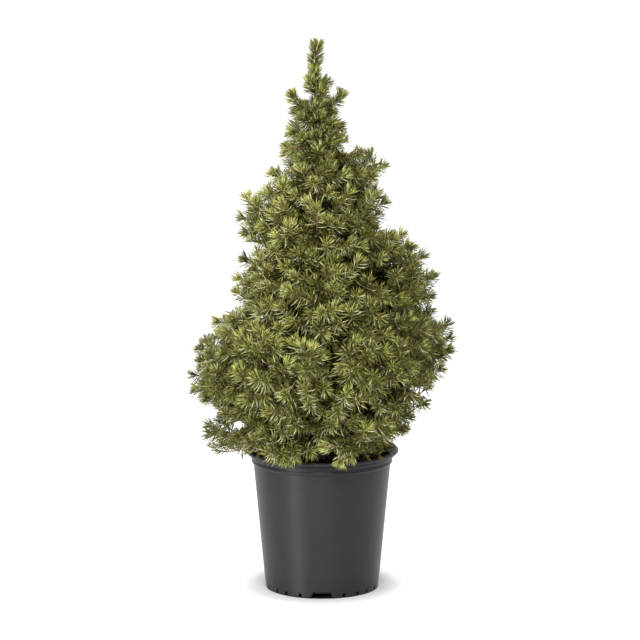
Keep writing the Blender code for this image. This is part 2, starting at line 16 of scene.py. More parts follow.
import bpy
import numpy as np
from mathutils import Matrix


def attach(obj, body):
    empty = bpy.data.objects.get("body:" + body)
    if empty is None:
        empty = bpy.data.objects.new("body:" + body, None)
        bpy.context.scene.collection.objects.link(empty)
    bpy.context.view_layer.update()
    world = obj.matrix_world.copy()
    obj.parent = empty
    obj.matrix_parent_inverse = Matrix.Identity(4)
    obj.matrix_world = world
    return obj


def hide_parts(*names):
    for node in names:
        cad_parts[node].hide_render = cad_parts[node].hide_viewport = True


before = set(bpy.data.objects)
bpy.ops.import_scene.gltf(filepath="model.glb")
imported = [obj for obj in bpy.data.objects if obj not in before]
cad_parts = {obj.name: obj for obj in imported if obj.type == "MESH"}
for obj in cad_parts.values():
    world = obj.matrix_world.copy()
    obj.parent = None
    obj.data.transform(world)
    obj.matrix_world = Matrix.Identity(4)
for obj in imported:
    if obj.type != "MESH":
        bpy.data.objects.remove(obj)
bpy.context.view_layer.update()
LOG = logging.getLogger("spruce")
Array = np.ndarray

# Measures that the whole tree shares with its solids.
POT_HEIGHT = 0.157
LIP_RADIUS = 0.085
WALL_TOP_RADIUS = 0.0757
BASE_RADIUS = 0.0628
WALL = 0.0016
SOIL_TOP = 0.1455
CLEAR = 0.0003
TRUNK_FOOT = SOIL_TOP + CLEAR
TRUNK_TOP = 0.515
TREE_TOP = 0.611
TRUNK_RADIUS = 0.0072
TRUNK_TIP_RADIUS = 0.0016
FLARE_RADIUS = 0.0034
FLARE_HEIGHT = 0.012
TRUNK_FOOT_X = 0.0022
TRUNK_LEAN = 0.0085
TRUNK_SWAY = 0.0022
JOINT = 0.32
BOUGH_RADIUS = 0.0030
JOINT_RADIUS = 0.0021
STEM_RADIUS = 0.0018
SPRAY_LENGTH = 0.031
GOLDEN_ANGLE = math.radians(137.508)
GOLDEN_SHARE = 0.618
SEED = 61
UP = np.array((0.0, 0.0, 1.0))


# Small helpers on arrays of vectors.
def unit(vectors: Array) -> Array:
    """Vectors divided by their lengths."""
    return vectors / np.maximum(np.linalg.norm(vectors, axis=-1, keepdims=True), 1e-12)


def crosswise(ahead: Array) -> tuple[Array, Array]:
    """Two unit vectors square to each direction and to each other.

    The first is level, Z x ahead, and the second is ahead x first, which points up as far as it can.

    Args:
        ahead: unit directions, (..., 3).

    Returns:
        The level one and the upper one.
    """
    helper = np.where(np.abs(ahead[..., 2:]) > 0.995, np.array((0.0, 1.0, 0.0)), UP)
    level = unit(np.cross(helper, ahead))
    return level, np.cross(ahead, level)


def around(ahead: Array, spin: Array) -> Array:
    """Unit vectors square to each direction: cos spin . level + sin spin . upper."""
    level, upper = crosswise(ahead)
    return np.cos(spin)[:, None] * level + np.sin(spin)[:, None] * upper


def leaning(along: Array, side: Array, lean: Array) -> Array:
    """Directions that lean off a branch to a side: cos lean . along + sin lean . side."""
    return np.cos(lean)[:, None] * along + np.sin(lean)[:, None] * side


def bent_end(root: Array, ahead: Array, bend: Array, size: Array, longest: Array) -> Array:
    """Where curves of a size end: root + ahead size + bend (size / longest)^2."""
    return root + ahead * size[:, None] + bend * ((size / longest) ** 2)[:, None]


def numbered(count: Array) -> tuple[Array, Array]:
    """The group of each member of groups of so many, and its place in its group."""
    number = np.repeat(np.arange(len(count)), count)
    return number, np.arange(len(number)) - np.repeat(np.cumsum(count) - count, count)


def waves(points: Array, length: float, count: int, seed: int) -> Array:
    """A smooth pattern about 0: the mean of sin(k . p + phase) over waves k of random directions.

    Args:
        points: where to read it, (..., 3).
        length: the mean wavelength, in the points' unit.
        count: how many waves are added.
        seed: picks the waves.

    Returns:
        One number for each point, mostly between -1 and 1.
    """
    dice = np.random.default_rng(seed)
    ways = unit(dice.normal(size=(count, 3))) * (2 * math.pi / length) * dice.uniform(0.7, 1.4, (count, 1))
    phases = dice.uniform(0, 2 * math.pi, count)
    return np.sin(points @ ways.T + phases).sum(-1) * (1.4 / math.sqrt(count))


def smooth_step(value: Array, low: float, high: float) -> Array:
    """0 under low, 1 over high and 3s^2 - 2s^3 between them."""
    share = np.clip((value - low) / (high - low), 0, 1)
    return share * share * (3 - 2 * share)


def spaced(spots: Array, gap: float, taken: Array) -> Array:
    """Takes spots in order, each at least a gap away from all those taken before.

    Args:
        spots: points, (n, 3).
        gap: the least distance.
        taken: points that are there already, (m, 3).

    Returns:
        A mask of the spots that are kept.
    """
    used = len(taken)
    cloud = np.concatenate([taken, np.zeros((len(spots), 3))])
    kept = np.zeros(len(spots), bool)
    for k, spot in enumerate(spots):
        if used == 0 or ((cloud[:used] - spot) ** 2).sum(1).min() > gap * gap:
            cloud[used] = spot
            used += 1
            kept[k] = True
    return kept


# Meshes.
def lay_mesh(name: str, points: Array, faces: Sequence[Array], finishes: Sequence[bpy.types.Material],
             smooth: bool = True, deal: Optional[Array] = None) -> bpy.types.Object:
    """Links a mesh object made of whole arrays.

    Args:
        name: the piece's name.
        points: its points, (n, 3).
        faces: arrays of corner numbers, one array for each count of corners.
        finishes: its materials.
        smooth: whether its shading is smooth.
        deal: which material each face takes, in the order of the faces.

    Returns:
        The new object.
    """
    mesh = bpy.data.meshes.new(name)
    corners = np.concatenate([block.ravel() for block in faces]).astype(np.int32)
    sizes = np.concatenate([np.full(len(block), block.shape[1], np.int32) for block in faces])
    mesh.vertices.add(len(points))
    mesh.vertices.foreach_set("co", points.astype(np.float32).ravel())
    mesh.loops.add(len(corners))
    mesh.loops.foreach_set("vertex_index", corners)
    mesh.polygons.add(len(sizes))
    mesh.polygons.foreach_set("loop_start", (np.cumsum(sizes) - sizes).astype(np.int32))
    mesh.update(calc_edges=True)
    for finish in finishes:
        mesh.materials.append(finish)
    if deal is not None:
        mesh.polygons.foreach_set("material_index", deal.astype(np.int32))
    if smooth:
        mesh.shade_smooth()
    made = bpy.data.objects.new(name, mesh)
    bpy.context.scene.collection.objects.link(made)
    return made


def grid_faces(rows: int, columns: int) -> Array:
    """Four-cornered faces of a grid of points that closes on itself across its columns."""
    row, column = np.meshgrid(np.arange(rows - 1), np.arange(columns), indexing="ij")
    beside = (column + 1) % columns
    low, high = row * columns, (row + 1) * columns
    return np.stack([low + column, low + beside, high + beside, high + column], -1).reshape(-1, 4)


def pole_faces(pole: int, first: int, columns: int, below: bool) -> Array:
    """Three-cornered faces from one ring of points to a pole below or above it."""
    column = np.arange(columns)
    beside = (column + 1) % columns
    ends = (beside, column) if below else (column, beside)
    return np.stack([first + ends[0], first + ends[1], np.full(columns, pole)], -1)


def turned(radii: Array, heights: Array, angles: Array) -> tuple[Array, list[Array]]:
    """A profile turned about Z, closed at a pole at each end.

    The point at (row, column) is (radius cos angle, radius sin angle, height). The first and last rows of
    the profile have radius 0 and become the poles.

    Args:
        radii: (rows, columns) or (rows,).
        heights: (rows, columns) or (rows,).
        angles: (columns,), growing.

    Returns:
        The points and the arrays of faces.
    """
    rows, columns = len(radii) - 2, len(angles)
    wide = np.broadcast_to(np.reshape(radii, (len(radii), -1)), (len(radii), columns))
    tall = np.broadcast_to(np.reshape(heights, (len(heights), -1)), (len(heights), columns))
    body = np.stack([wide * np.cos(angles), wide * np.sin(angles), tall], -1)[1:-1].reshape(-1, 3)
    poles = np.array([(0, 0, tall[0, 0]), (0, 0, tall[-1, 0])])
    count = rows * columns
    faces = [
        grid_faces(rows, columns),
        np.concatenate([
            pole_faces(count, 0, columns, True),
            pole_faces(count + 1, count - columns, columns, False),
        ]),
    ]
    return np.concatenate([body, poles]), faces


def tubes(centres: Array, radii: Array, sides: int,
          relief: Optional[Array] = None) -> tuple[Array, list[Array]]:
    """Many closed tubes at once, each with as many rings.

    A ring's points are centre + radius (cos a . level + sin a . upper), square to the path, and a pole
    closes each end.

    Args:
        centres: the rings' centres, (tubes, rings, 3).
        radii: the rings' radii, (tubes, rings).
        sides: points round a ring.
        relief: what the radius is multiplied by, (tubes, rings, sides), or None.

    Returns:
        The points and the arrays of faces.
    """
    count, rings = radii.shape
    ahead = unit(np.gradient(centres, axis=1))
    first = unit(ahead[:, :1] + 0.0)
    level, _ = crosswise(first)
    side = unit(level - (level * ahead).sum(-1, keepdims=True) * ahead)
    across = np.cross(ahead, side)
    turn = 2 * math.pi * np.arange(sides) / sides
    wide = radii[:, :, None] * (1.0 if relief is None else relief)
    wide = np.broadcast_to(wide, (count, rings, sides))[..., None]
    spokes = np.cos(turn)[:, None] * side[:, :, None] + np.sin(turn)[:, None] * across[:, :, None]
    body = (centres[:, :, None] + wide * spokes).reshape(count, rings * sides, 3)
    bulge = radii[:, [0, -1], None] * np.array((-0.4, 0.4))[:, None]
    ends = centres[:, [0, -1]] + ahead[:, [0, -1]] * bulge
    each = rings * sides + 2
    points = np.concatenate([body, ends], 1).reshape(-1, 3)
    quads = grid_faces(rings, sides)
    caps = np.concatenate([
        pole_faces(each - 2, 0, sides, True),
        pole_faces(each - 1, (rings - 1) * sides, sides, False),
    ])
    shift = (np.arange(count) * each)[:, None, None]
    return points, [(quads + shift).reshape(-1, 4), (caps + shift).reshape(-1, 3)]


# Materials.
class Value:
    """A number that changes over a surface: a shader socket that Python's operators work on."""

    def __init__(self, bench: "Bench", socket: bpy.types.NodeSocket) -> None:
        """Keeps the socket and the bench that adds nodes to its material."""
        self.bench = bench
        self.socket = socket

    def _sum(self, operation: str, first: object, second: object) -> "Value":
        """Adds one Math node for an operation on two values."""
        made = self.bench.node("ShaderNodeMath", {"operation": operation}, {0: first, 1: second})
        return Value(self.bench, made.outputs[0])

    def __add__(self, other: object) -> "Value":
        """Value + other."""
        return self._sum("ADD", self, other)

    __radd__ = __add__

    def __sub__(self, other: object) -> "Value":
        """Value - other."""
        return self._sum("SUBTRACT", self, other)

    def __rsub__(self, other: object) -> "Value":
        """Other - value."""
        return self._sum("SUBTRACT", other, self)

    def __mul__(self, other: object) -> "Value":
        """Value * other."""
        return self._sum("MULTIPLY", self, other)

    __rmul__ = __mul__

    def between(self, low: float, high: float) -> "Value":
        """0 under low, 1 over high and a smooth step between them."""
        made = self.bench.node(
            "ShaderNodeMapRange",
            {"interpolation_type": "SMOOTHSTEP"},
            {"Value": self, "From Min": low, "From Max": high},
        )
        return Value(self.bench, made.outputs["Result"])


class Bench:
    """A new material, and the one way to add nodes to it."""

    def __init__(self, name: str) -> None:
        """Makes the material with its Principled shader."""
        self.material = bpy.data.materials.new(name)
        self.material.use_nodes = True
        self.tree = self.material.node_tree
        self.shader = self.tree.nodes["Principled BSDF"]
        self.place = self.node("ShaderNodeTexCoord").outputs["Object"]

    def feed(self, socket: bpy.types.NodeSocket, given: object) -> None:
        """Links a value or a socket to a socket, or sets a number or a colour on it."""
        given = given.socket if isinstance(given, Value) else given
        if isinstance(given, bpy.types.NodeSocket):
            self.tree.links.new(given, socket)
        elif isinstance(given, tuple) and len(given) == 3 and socket.type == "RGBA":
            socket.default_value = (*given, 1.0)
        else:
            socket.default_value = given

    def node(self, kind: str, settings: Optional[dict] = None,
             inputs: Optional[dict] = None) -> bpy.types.Node:
        """Adds one node.

        Args:
            kind: the node's type.
            settings: its properties, set first. "stops" is a ramp's list of (place, colour).
            inputs: values or links of its sockets, by name or number.

        Returns:
            The node.
        """
        made = self.tree.nodes.new(kind)
        for key, setting in (settings or {}).items():
            if key == "stops":
                ramp = made.color_ramp
                while len(ramp.elements) < len(setting):
                    ramp.elements.new(0.5)
                for element, (place, colour) in zip(ramp.elements, setting):
                    element.position = place
                    element.color = (*colour, 1.0)
            else:
                setattr(made, key, setting)
        for key, given in (inputs or {}).items():
            self.feed(made.inputs[key], given)
        return made

    def stretched(self, scale: tuple[float, float, float]) -> bpy.types.NodeSocket:
        """Object coordinates multiplied along each axis."""
        inputs = {"Vector": self.place, "Scale": scale}
        return self.node("ShaderNodeMapping", {"vector_type": "POINT"}, inputs).outputs[0]

    def noise(self, scale: float, detail: float = 3.0, place: Optional[bpy.types.NodeSocket] = None,
              rough: float = 0.55) -> Value:
        """Cloudy noise between 0 and 1, with scale lumps to the metre."""
        inputs = {"Vector": place or self.place, "Scale": scale, "Detail": detail, "Roughness": rough}
        return Value(self, self.node("ShaderNodeTexNoise", None, inputs).outputs[0])

    def cells(self, scale: float, place: Optional[bpy.types.NodeSocket] = None) -> Value:
        """Distance to the nearest of scattered points, with scale cells to the metre."""
        inputs = {"Vector": place or self.place, "Scale": scale}
        return Value(self, self.node("ShaderNodeTexVoronoi", None, inputs).outputs["Distance"])

    def height(self) -> Value:
        """The height above the ground, in metres."""
        return Value(self, self.node("ShaderNodeSeparateXYZ", None, {0: self.place}).outputs[2])

    def ramp(self, value: Value, stops: Sequence[tuple[float, tuple]]) -> bpy.types.NodeSocket:
        """A colour picked along a ramp."""
        return self.node("ShaderNodeValToRGB", {"stops": stops}, {0: value}).outputs[0]

    def blend(self, share: Value, first: object, second: object) -> bpy.types.NodeSocket:
        """A mix of two colours."""
        made = self.node("ShaderNodeMix", {"data_type": "RGBA"}, {"Factor": share})
        colours = [socket for socket in made.inputs if socket.type == "RGBA"]
        self.feed(colours[0], first)
        self.feed(colours[1], second)
        return [socket for socket in made.outputs if socket.type == "RGBA"][0]

    def bumped(self, height: Value, distance: float, strength: float = 1.0) -> bpy.types.NodeSocket:
        """A normal bent by a height in shares of a distance in metres."""
        inputs = {"Height": height, "Distance": distance, "Strength": strength}
        return self.node("ShaderNodeBump", None, inputs).outputs[0]

    def done(self, sockets: dict) -> bpy.types.Material:
        """Sets or links the shader's own sockets and gives the material."""
        for key, given in sockets.items():
            self.feed(self.shader.inputs[key], given)
        return self.material


@dataclass(frozen=True)
class PotPlastic:
    """Satin charcoal plastic: a fine grain, faint cloudy waves in the gloss, and dust at the foot and rim."""

    dark: tuple = (0.0054, 0.0050, 0.0082)
    light: tuple = (0.0074, 0.0070, 0.0106)
    dust: tuple = (0.075, 0.068, 0.058)

    def make(self) -> bpy.types.Material:
        """Builds the material."""
        bench = Bench("pot_plastic")
        cloud = bench.noise(34.0, 4.0)
        long_cloud = bench.noise(60.0, 3.0, bench.stretched((1.0, 1.0, 0.12)))
        grain = bench.noise(2600.0, 2.0)
        specks = bench.noise(420.0, 3.0).between(0.62, 0.74)
        rim = bench.height().between(POT_HEIGHT - 0.016, POT_HEIGHT - 0.001)
        foot = 1.0 - bench.height().between(0.0005, 0.012)
        dusty = (rim * 0.30 + foot * 0.45) * specks + specks * 0.05
        plain = bench.blend(cloud.between(0.3, 0.7), self.dark, self.light)
        relief = long_cloud * 0.9 + grain * 0.06
        return bench.done({
            "Base Color": bench.blend(dusty, plain, self.dust),
            "Roughness": 0.47 + cloud * 0.06 + grain * 0.04 + dusty * 0.25,
            "Normal": bench.bumped(relief, 0.0005, 0.35),
            "Specular IOR Level": 0.38,
            "Anisotropic": 0.72,
            "Anisotropic Rotation": 0.25,
        })


@dataclass(frozen=True)
class PottingMix:
    """Damp peat with crumbs of bark, dark brown with a few paler fibres."""

    peat: tuple = (0.010, 0.0065, 0.0045)
    crumb: tuple = (0.050, 0.026, 0.014)
    fibre: tuple = (0.130, 0.085, 0.050)

    def make(self) -> bpy.types.Material:
        """Builds the material."""
        bench = Bench("potting_mix")
        crumbs = bench.cells(420.0)
        fine = bench.noise(900.0, 4.0)
        fibres = bench.noise(240.0, 5.0, bench.stretched((1.0, 4.0, 1.0))).between(0.66, 0.74)
        brown = bench.blend((1.0 - crumbs.between(0.1, 0.55)) * fine, self.peat, self.crumb)
        return bench.done({
            "Base Color": bench.blend(fibres * 0.7, brown, self.fibre),
            "Roughness": 0.86 + fine * 0.12,
            "Normal": bench.bumped(crumbs * -0.7 + fine * 0.4, 0.0012, 0.8),
            "Specular IOR Level": 0.3,
        })


@dataclass(frozen=True)
class BarkChips:
    """Composted bark chips: reddish brown with darker, damp edges."""

    damp: tuple = (0.020, 0.011, 0.007)
    dry: tuple = (0.110, 0.056, 0.030)

    def make(self) -> bpy.types.Material:
        """Builds the material."""
        bench = Bench("bark_chips")
        patch = bench.noise(110.0, 2.0)
        grain = bench.noise(700.0, 4.0, bench.stretched((1.0, 0.35, 1.0)))
        return bench.done({
            "Base Color": bench.ramp(patch * 0.6 + grain * 0.4, ((0.36, self.damp), (0.66, self.dry))),
            "Roughness": 0.80 + grain * 0.15,
            "Normal": bench.bumped(grain, 0.0006, 0.8),
            "Specular IOR Level": 0.3,
        })


@dataclass(frozen=True)
class Bark:
    """Young spruce bark: grey-brown flakes over a redder skin, drawn out along the limb."""

    skin: tuple = (0.105, 0.050, 0.026)
    flake: tuple = (0.195, 0.140, 0.096)
    crack: tuple = (0.026, 0.014, 0.009)

    def make(self) -> bpy.types.Material:
        """Builds the material."""
        bench = Bench("bark")
        long = bench.stretched((1.0, 1.0, 0.45))
        flakes = bench.cells(330.0, long)
        patches = bench.noise(170.0, 4.0, long)
        fine = bench.noise(1500.0, 3.0, long)
        edge = flakes.between(0.42, 0.62)
        skin = bench.blend(patches.between(0.35, 0.65), self.skin, self.flake)
        return bench.done({
            "Base Color": bench.blend(edge * 0.75 + fine.between(0.6, 0.9) * 0.25, skin, self.crack),
            "Roughness": 0.72 + fine * 0.2,
            "Normal": bench.bumped(patches * 0.5 - edge * 0.6 + fine * 0.15, 0.0008, 0.9),
            "Specular IOR Level": 0.35,
        })


@dataclass(frozen=True)
class PlainFinish:
    """A plain base colour that is dealt out by spray, with its gloss."""

    name: str
    colour: tuple
    roughness: float
    shine: float = 0.4

    def make(self) -> bpy.types.Material:
        """Builds the material."""
        bench = Bench(self.name)
        return bench.done({
            "Base Color": self.colour,
            "Roughness": self.roughness,
            "Specular IOR Level": self.shine,
        })


class NeedleTint(Enum):
    """The plain colours of the needles, each a finish."""

    LIME = PlainFinish("needles_lime", (0.480, 0.490, 0.130), 0.42, 0.5)
    OLIVE = PlainFinish("needles_olive", (0.300, 0.305, 0.056), 0.42, 0.5)
    GREEN = PlainFinish("needles_green", (0.155, 0.165, 0.028), 0.42, 0.5)
    # Pale: the needles' pale undersides, and also painted highlights.
    PALE = PlainFinish("needles_pale", (0.640, 0.655, 0.360), 0.45, 0.5)
    # Deep: the older needles' own dark green, and also painted shade deep in the crown and at shaded places.
    DEEP = PlainFinish("needles_deep", (0.086, 0.088, 0.014), 0.50, 0.3)
    SHADE = PlainFinish("needles_shade", (0.056, 0.049, 0.008), 0.60, 0.15)
    STRAW = PlainFinish("needles_straw", (0.280, 0.170, 0.070), 0.65, 0.2)


class WoodTint(Enum):
    """The plain colours of twigs and buds, dealt out by age."""

    OLD = PlainFinish("twig_old", (0.115, 0.070, 0.036), 0.75, 0.2)
    YOUNG = PlainFinish("twig_young", (0.220, 0.125, 0.052), 0.65, 0.25)
    BUD = PlainFinish("buds", (0.300, 0.185, 0.070), 0.50, 0.4)


# The pot's rim, over its collar and lip: distances out from the top of the plain wall, and depths below
# the pot's top.
RIM = (
    (0.0002, 0.0165), (0.0010, 0.0160), (0.0021, 0.0149), (0.0025, 0.0138), (0.0022, 0.0128),
    (0.0014, 0.0119), (0.0010, 0.0108), (0.0011, 0.0096), (0.0030, 0.0088), (0.0042, 0.0080),
    (0.0044, 0.0070), (0.0040, 0.0058), (0.0034, 0.0049), (0.0067, 0.0047), (0.0082, 0.0042),
    (0.0090, 0.0033), (0.0093, 0.0023), (0.0089, 0.0012), (0.0078, 0.0004), (0.0061, 0.0),
    (0.0045, 0.0005), (0.0031, 0.0018), (0.0018, 0.0042), (0.0006, 0.0080), (-0.0006, 0.0118),
)


@dataclass
class NurseryPot:
    """The round nursery pot: a turned shell with a rolled lip, a collar, a bead, and drain mouths."""

    segments: int = 168
    pad_radius: float = 0.040
    pad_edge: float = 0.003
    channel_rise: float = 0.0045
    foot_width: float = 0.0040
    foot_edge: float = 0.0012
    mouths: int = 4
    mouth_half: float = 11.5
    mouth_height: float = 0.0066
    mouth_top: float = 0.80
    notches: tuple = (22.5, 38.5, 51.5, 67.5)
    notch_width: float = 0.0032
    notch_height: float = 0.0042
    step: float = 0.25
    wall_end: float = 0.0205
    reach_up: float = 0.010
    first_cut_row: int = 5
    last_cut_row: int = 25

    def wall(self, height: Array) -> Array:
        """Outer radius of the plain tapering wall at a height."""
        share = height / (POT_HEIGHT - self.wall_end)
        return BASE_RADIUS + (WALL_TOP_RADIUS - BASE_RADIUS) * share

    def angles(self) -> tuple[Array, Array]:
        """The columns' angles and how far the foot is cut away at each.

        The lift is a mouth's or notch's height between its sides, and 0 elsewhere. Columns stand at the
        sides of each cut, so that a mouth's sides slope and a notch's are steep.

        Returns:
            The angles in radians and the lifts in metres.
        """
        half = math.degrees(self.notch_width / 2 / BASE_RADIUS)
        knots = []
        for mouth in range(self.mouths):
            front = -90.0 + 360.0 * mouth / self.mouths
            knots += [
                (front - self.mouth_half, 0.0),
                (front - self.mouth_half * self.mouth_top, self.mouth_height),
                (front + self.mouth_half * self.mouth_top, self.mouth_height),
                (front + self.mouth_half, 0.0),
            ]
            for notch in self.notches:
                middle = front + notch
                knots += [
                    (middle - half - self.step, 0.0),
                    (middle - half, self.notch_height),
                    (middle + half, self.notch_height),
                    (middle + half + self.step, 0.0),
                ]
        knots = np.array(sorted(knots))
        plain = -90.0 - self.mouth_half + 360.0 * np.arange(self.segments) / self.segments
        near = np.abs(plain[:, None] - knots[None, :, 0]).min(1)
        every = np.sort(np.concatenate([plain[near > 0.5], knots[:, 0]]))
        return np.radians(every), np.interp(every, knots[:, 0], knots[:, 1])

    def profile(self) -> Array:
        """The section as (radius, height): up the outside, over the lip, down the inside to the floor."""
        top = POT_HEIGHT
        floor = self.channel_rise + WALL
        inside = BASE_RADIUS - self.foot_width
        low = [
            (0, 0), (self.pad_radius * 0.55, 0), (self.pad_radius, 0),
            (self.pad_radius + self.pad_edge, self.channel_rise),
            (inside - self.foot_edge, self.channel_rise),
            (inside, 0), (BASE_RADIUS - self.foot_edge, 0),
            (BASE_RADIUS - self.foot_edge * 0.35, 0.0004),
            (float(self.wall(0.0016)) + 0.0002, 0.0016),
            (float(self.wall(0.004)) + 0.0003, 0.004),
        ]
        rise = np.linspace(0.008, top - self.wall_end - 0.001, 22)
        plain = list(zip(self.wall(rise).tolist(), rise.tolist()))
        rim = [(WALL_TOP_RADIUS + out, top - down) for out, down in RIM]
        rim.append((WALL_TOP_RADIUS - WALL, top - self.wall_end))
        deep = np.linspace(top - self.wall_end - 0.01, 2 * floor, 6)
        inner = list(zip((self.wall(deep) - WALL).tolist(), deep.tolist()))
        ground = [
            (inside - self.foot_edge, floor),
            (self.pad_radius + self.pad_edge - WALL / 2, floor),
            (self.pad_radius - WALL / 2, WALL), (self.pad_radius * 0.5, WALL), (0, WALL),
        ]
        return np.array(low + plain + rim + inner + ground)

    def build(self) -> bpy.types.Object:
        """The pot's mesh and finish.

        The height of a point on the foot ring and low on the outer wall is z + lift (1 - z / 10 mm), so
        that the foot is cut away under the wall at each mouth and notch.

        Returns:
            The pot.
        """
        angles, lift = self.angles()
        section = self.profile()
        heights = np.repeat(section[:, 1:], len(angles), axis=1)
        rows = np.arange(len(section))
        cut = (rows >= self.first_cut_row) & (rows <= self.last_cut_row) & (section[:, 1] < self.reach_up)
        fade = np.clip(1 - section[:, 1] / self.reach_up, 0, 1) * cut
        heights = heights + fade[:, None] * lift[None]
        points, faces = turned(section[:, 0], heights, angles)
        pot = lay_mesh("nursery_pot", points, faces, [PotPlastic().make()])
        pot.data.set_sharp_from_angle(angle=math.radians(50))
        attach(pot, "root")
        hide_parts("pot")
        return pot


@dataclass
class Filling:
    """The potting mix with bark chips on it."""

    rings: int = 46
    segments: int = 150
    flat_radius: float = 0.016
    drop: float = 0.0035
    lump: float = 0.0016
    chips: int = 760
    chip_nearest: float = 0.014
    chip_farthest: float = 0.0715

    def surface(self, across: Array, along: Array) -> Array:
        """The mix's height: SOIL_TOP, falling by the drop towards the wall, with small lumps.

        It stays level and low under the trunk's foot.
        """
        radius = np.hypot(across, along)
        share = np.clip((radius - self.flat_radius) / (WALL_TOP_RADIUS - self.flat_radius), 0, 1)
        places = np.stack([across, along, np.zeros_like(across)], -1)
        lumps = waves(places, 0.011, 12, 3) * 0.6 + waves(places, 0.0042, 14, 4) * 0.4
        return SOIL_TOP - self.drop * share + self.lump * (lumps - 0.5) * np.clip(share * 8, 0, 1)

    def build(self) -> list[bpy.types.Object]:
        """The mix as a turned filling whose top is the lumpy surface, and the chips on it."""
        gap = WALL + CLEAR
        side = WALL_TOP_RADIUS - gap
        angles = 2 * math.pi * np.arange(self.segments) / self.segments
        top = np.linspace(side, side / self.rings, self.rings)
        below = np.array([(0.0, gap), (0.036, gap), (0.041, 0.0065), (0.0570, 0.0065), (0.0622, 0.0128)])
        radii = np.concatenate([below[:, 0], [side, side], top, [0.0]])
        flat = np.repeat(radii[:, None], self.segments, 1)
        tall = np.concatenate([below[:, 1], [0.128, 0.1365], top * 0, [0.0]])
        heights = np.repeat(tall[:, None], self.segments, 1)
        lid = slice(len(below) + 2, None)
        heights[lid] = self.surface(flat[lid] * np.cos(angles), flat[lid] * np.sin(angles))
        points, faces = turned(radii, heights, angles)
        mix = lay_mesh("potting_mix", points, faces, [PottingMix().make()])
        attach(mix, "root")
        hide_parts("soil")
        return [mix, self.scatter_chips()]

    def scatter_chips(self) -> bpy.types.Object:
        """Flat blocks with drawn-in corners, strewn at random and sunk into the mix by half."""
        dice = np.random.default_rng(SEED)
        count = self.chips
        radius = np.sqrt(dice.uniform(self.chip_nearest**2, self.chip_farthest**2, count))
        turn = dice.uniform(0, 2 * math.pi, count)
        centre = np.stack([radius * np.cos(turn), radius * np.sin(turn)], -1)
        sizes = dice.uniform(0.0010, 0.0026, (count, 3)) * np.array((2.0, 1.1, 0.5))
        corners = np.array([(x, y, z) for z in (-1, 1) for y in (-1, 1) for x in (-1, 1)], float)
        blocks = corners[None] * sizes[:, None] * dice.uniform(0.65, 1.1, (count, 8, 3))
        yaw, tilt = dice.uniform(0, 2 * math.pi, count), dice.normal(0, 0.35, count)
        level = np.stack([np.cos(yaw), np.sin(yaw), np.zeros(count)], -1)
        lift = np.stack([-np.sin(yaw) * np.cos(tilt), np.cos(yaw) * np.cos(tilt), np.sin(tilt)], -1)
        frames = np.stack([level, lift, np.cross(level, lift)], 1)
        placed = np.einsum("nkc,ncd->nkd", blocks, frames)
        height = self.surface(centre[:, 0], centre[:, 1]) + 0.0002
        placed += np.concatenate([centre, height[:, None]], 1)[:, None]
        box = np.array([(0, 2, 3, 1), (4, 5, 7, 6), (0, 1, 5, 4), (2, 6, 7, 3), (0, 4, 6, 2), (1, 3, 7, 5)])
        faces = (box[None] + 8 * np.arange(count)[:, None, None]).reshape(-1, 4)
        chips = lay_mesh("bark_chips", placed.reshape(-1, 3), [faces], [BarkChips().make()], smooth=False)
        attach(chips, "root")
        return chips


# The crown's reach and the tree's limbs, as in the source.
@dataclass(frozen=True)
class Outline:
    """How far the foliage reaches from the axis at each height, to the left and to the right."""

    height: tuple = (
        0.150, 0.160, 0.178, 0.195, 0.213, 0.240, 0.267, 0.294, 0.325, 0.350,
        0.383, 0.410, 0.437, 0.465, 0.490, 0.520, 0.552, 0.568, 0.594, 0.615,
    )
    left: tuple = (
        0.118, 0.128, 0.129, 0.118, 0.134, 0.151, 0.142, 0.119, 0.096, 0.098,
        0.084, 0.092, 0.092, 0.060, 0.049, 0.042, 0.040, 0.020, 0.016, 0.012,
    )
    right: tuple = (
        0.092, 0.092, 0.094, 0.102, 0.121, 0.132, 0.144, 0.145, 0.122, 0.127,
        0.104, 0.073, 0.073, 0.075, 0.058, 0.030, 0.027, 0.012, 0.004, 0.002,
    )
    squareness: float = 3.0

    def squared(self, azimuth: Array) -> Array:
        """What a round section is multiplied by: (|cos a|^3 + |sin a|^3)^(-1/3)."""
        across, along = np.abs(np.cos(azimuth)), np.abs(np.sin(azimuth))
        return (across**self.squareness + along**self.squareness) ** (-1 / self.squareness)

    def reach(self, height: Array, azimuth: Array) -> Array:
        """The crown's reach: (left + (right - left)(1 + cos a) / 2) squared(a)."""
        left = np.interp(height, self.height, self.left)
        right = np.interp(height, self.height, self.right)
        return (left + (right - left) * (1 + np.cos(azimuth)) / 2) * self.squared(azimuth)


class Tier(NamedTuple):
    """One whorl of limbs. Heights are in metres and the azimuth is in degrees."""

    name: str
    tip_height: float
    rise: float
    count: int
    first_azimuth: float
    has_boughs: bool


TIERS = (
    Tier("skirt", 0.172, 0.018, 6, 178.0, True),
    Tier("low", 0.228, 0.054, 6, 202.0, True),
    Tier("broad", 0.285, 0.078, 6, 172.0, True),
    Tier("middle", 0.350, 0.078, 5, 206.0, True),
    Tier("shoulder", 0.415, 0.072, 4, 176.0, False),
    Tier("neck", 0.466, 0.060, 3, 4.0, False),
    Tier("spire", 0.512, 0.044, 3, 188.0, False),
)


def trunk_axis(height: Array) -> Array:
    """The trunk's centre at a height: it leans a little to the left and sways."""
    height = np.asarray(height, float)
    share = (height - TRUNK_FOOT) / (TREE_TOP - TRUNK_FOOT)
    across = TRUNK_FOOT_X - TRUNK_LEAN * share + TRUNK_SWAY * np.sin(5.2 * share)
    return np.stack([across, 0.7 * TRUNK_SWAY * np.sin(7.0 * share), height], -1)


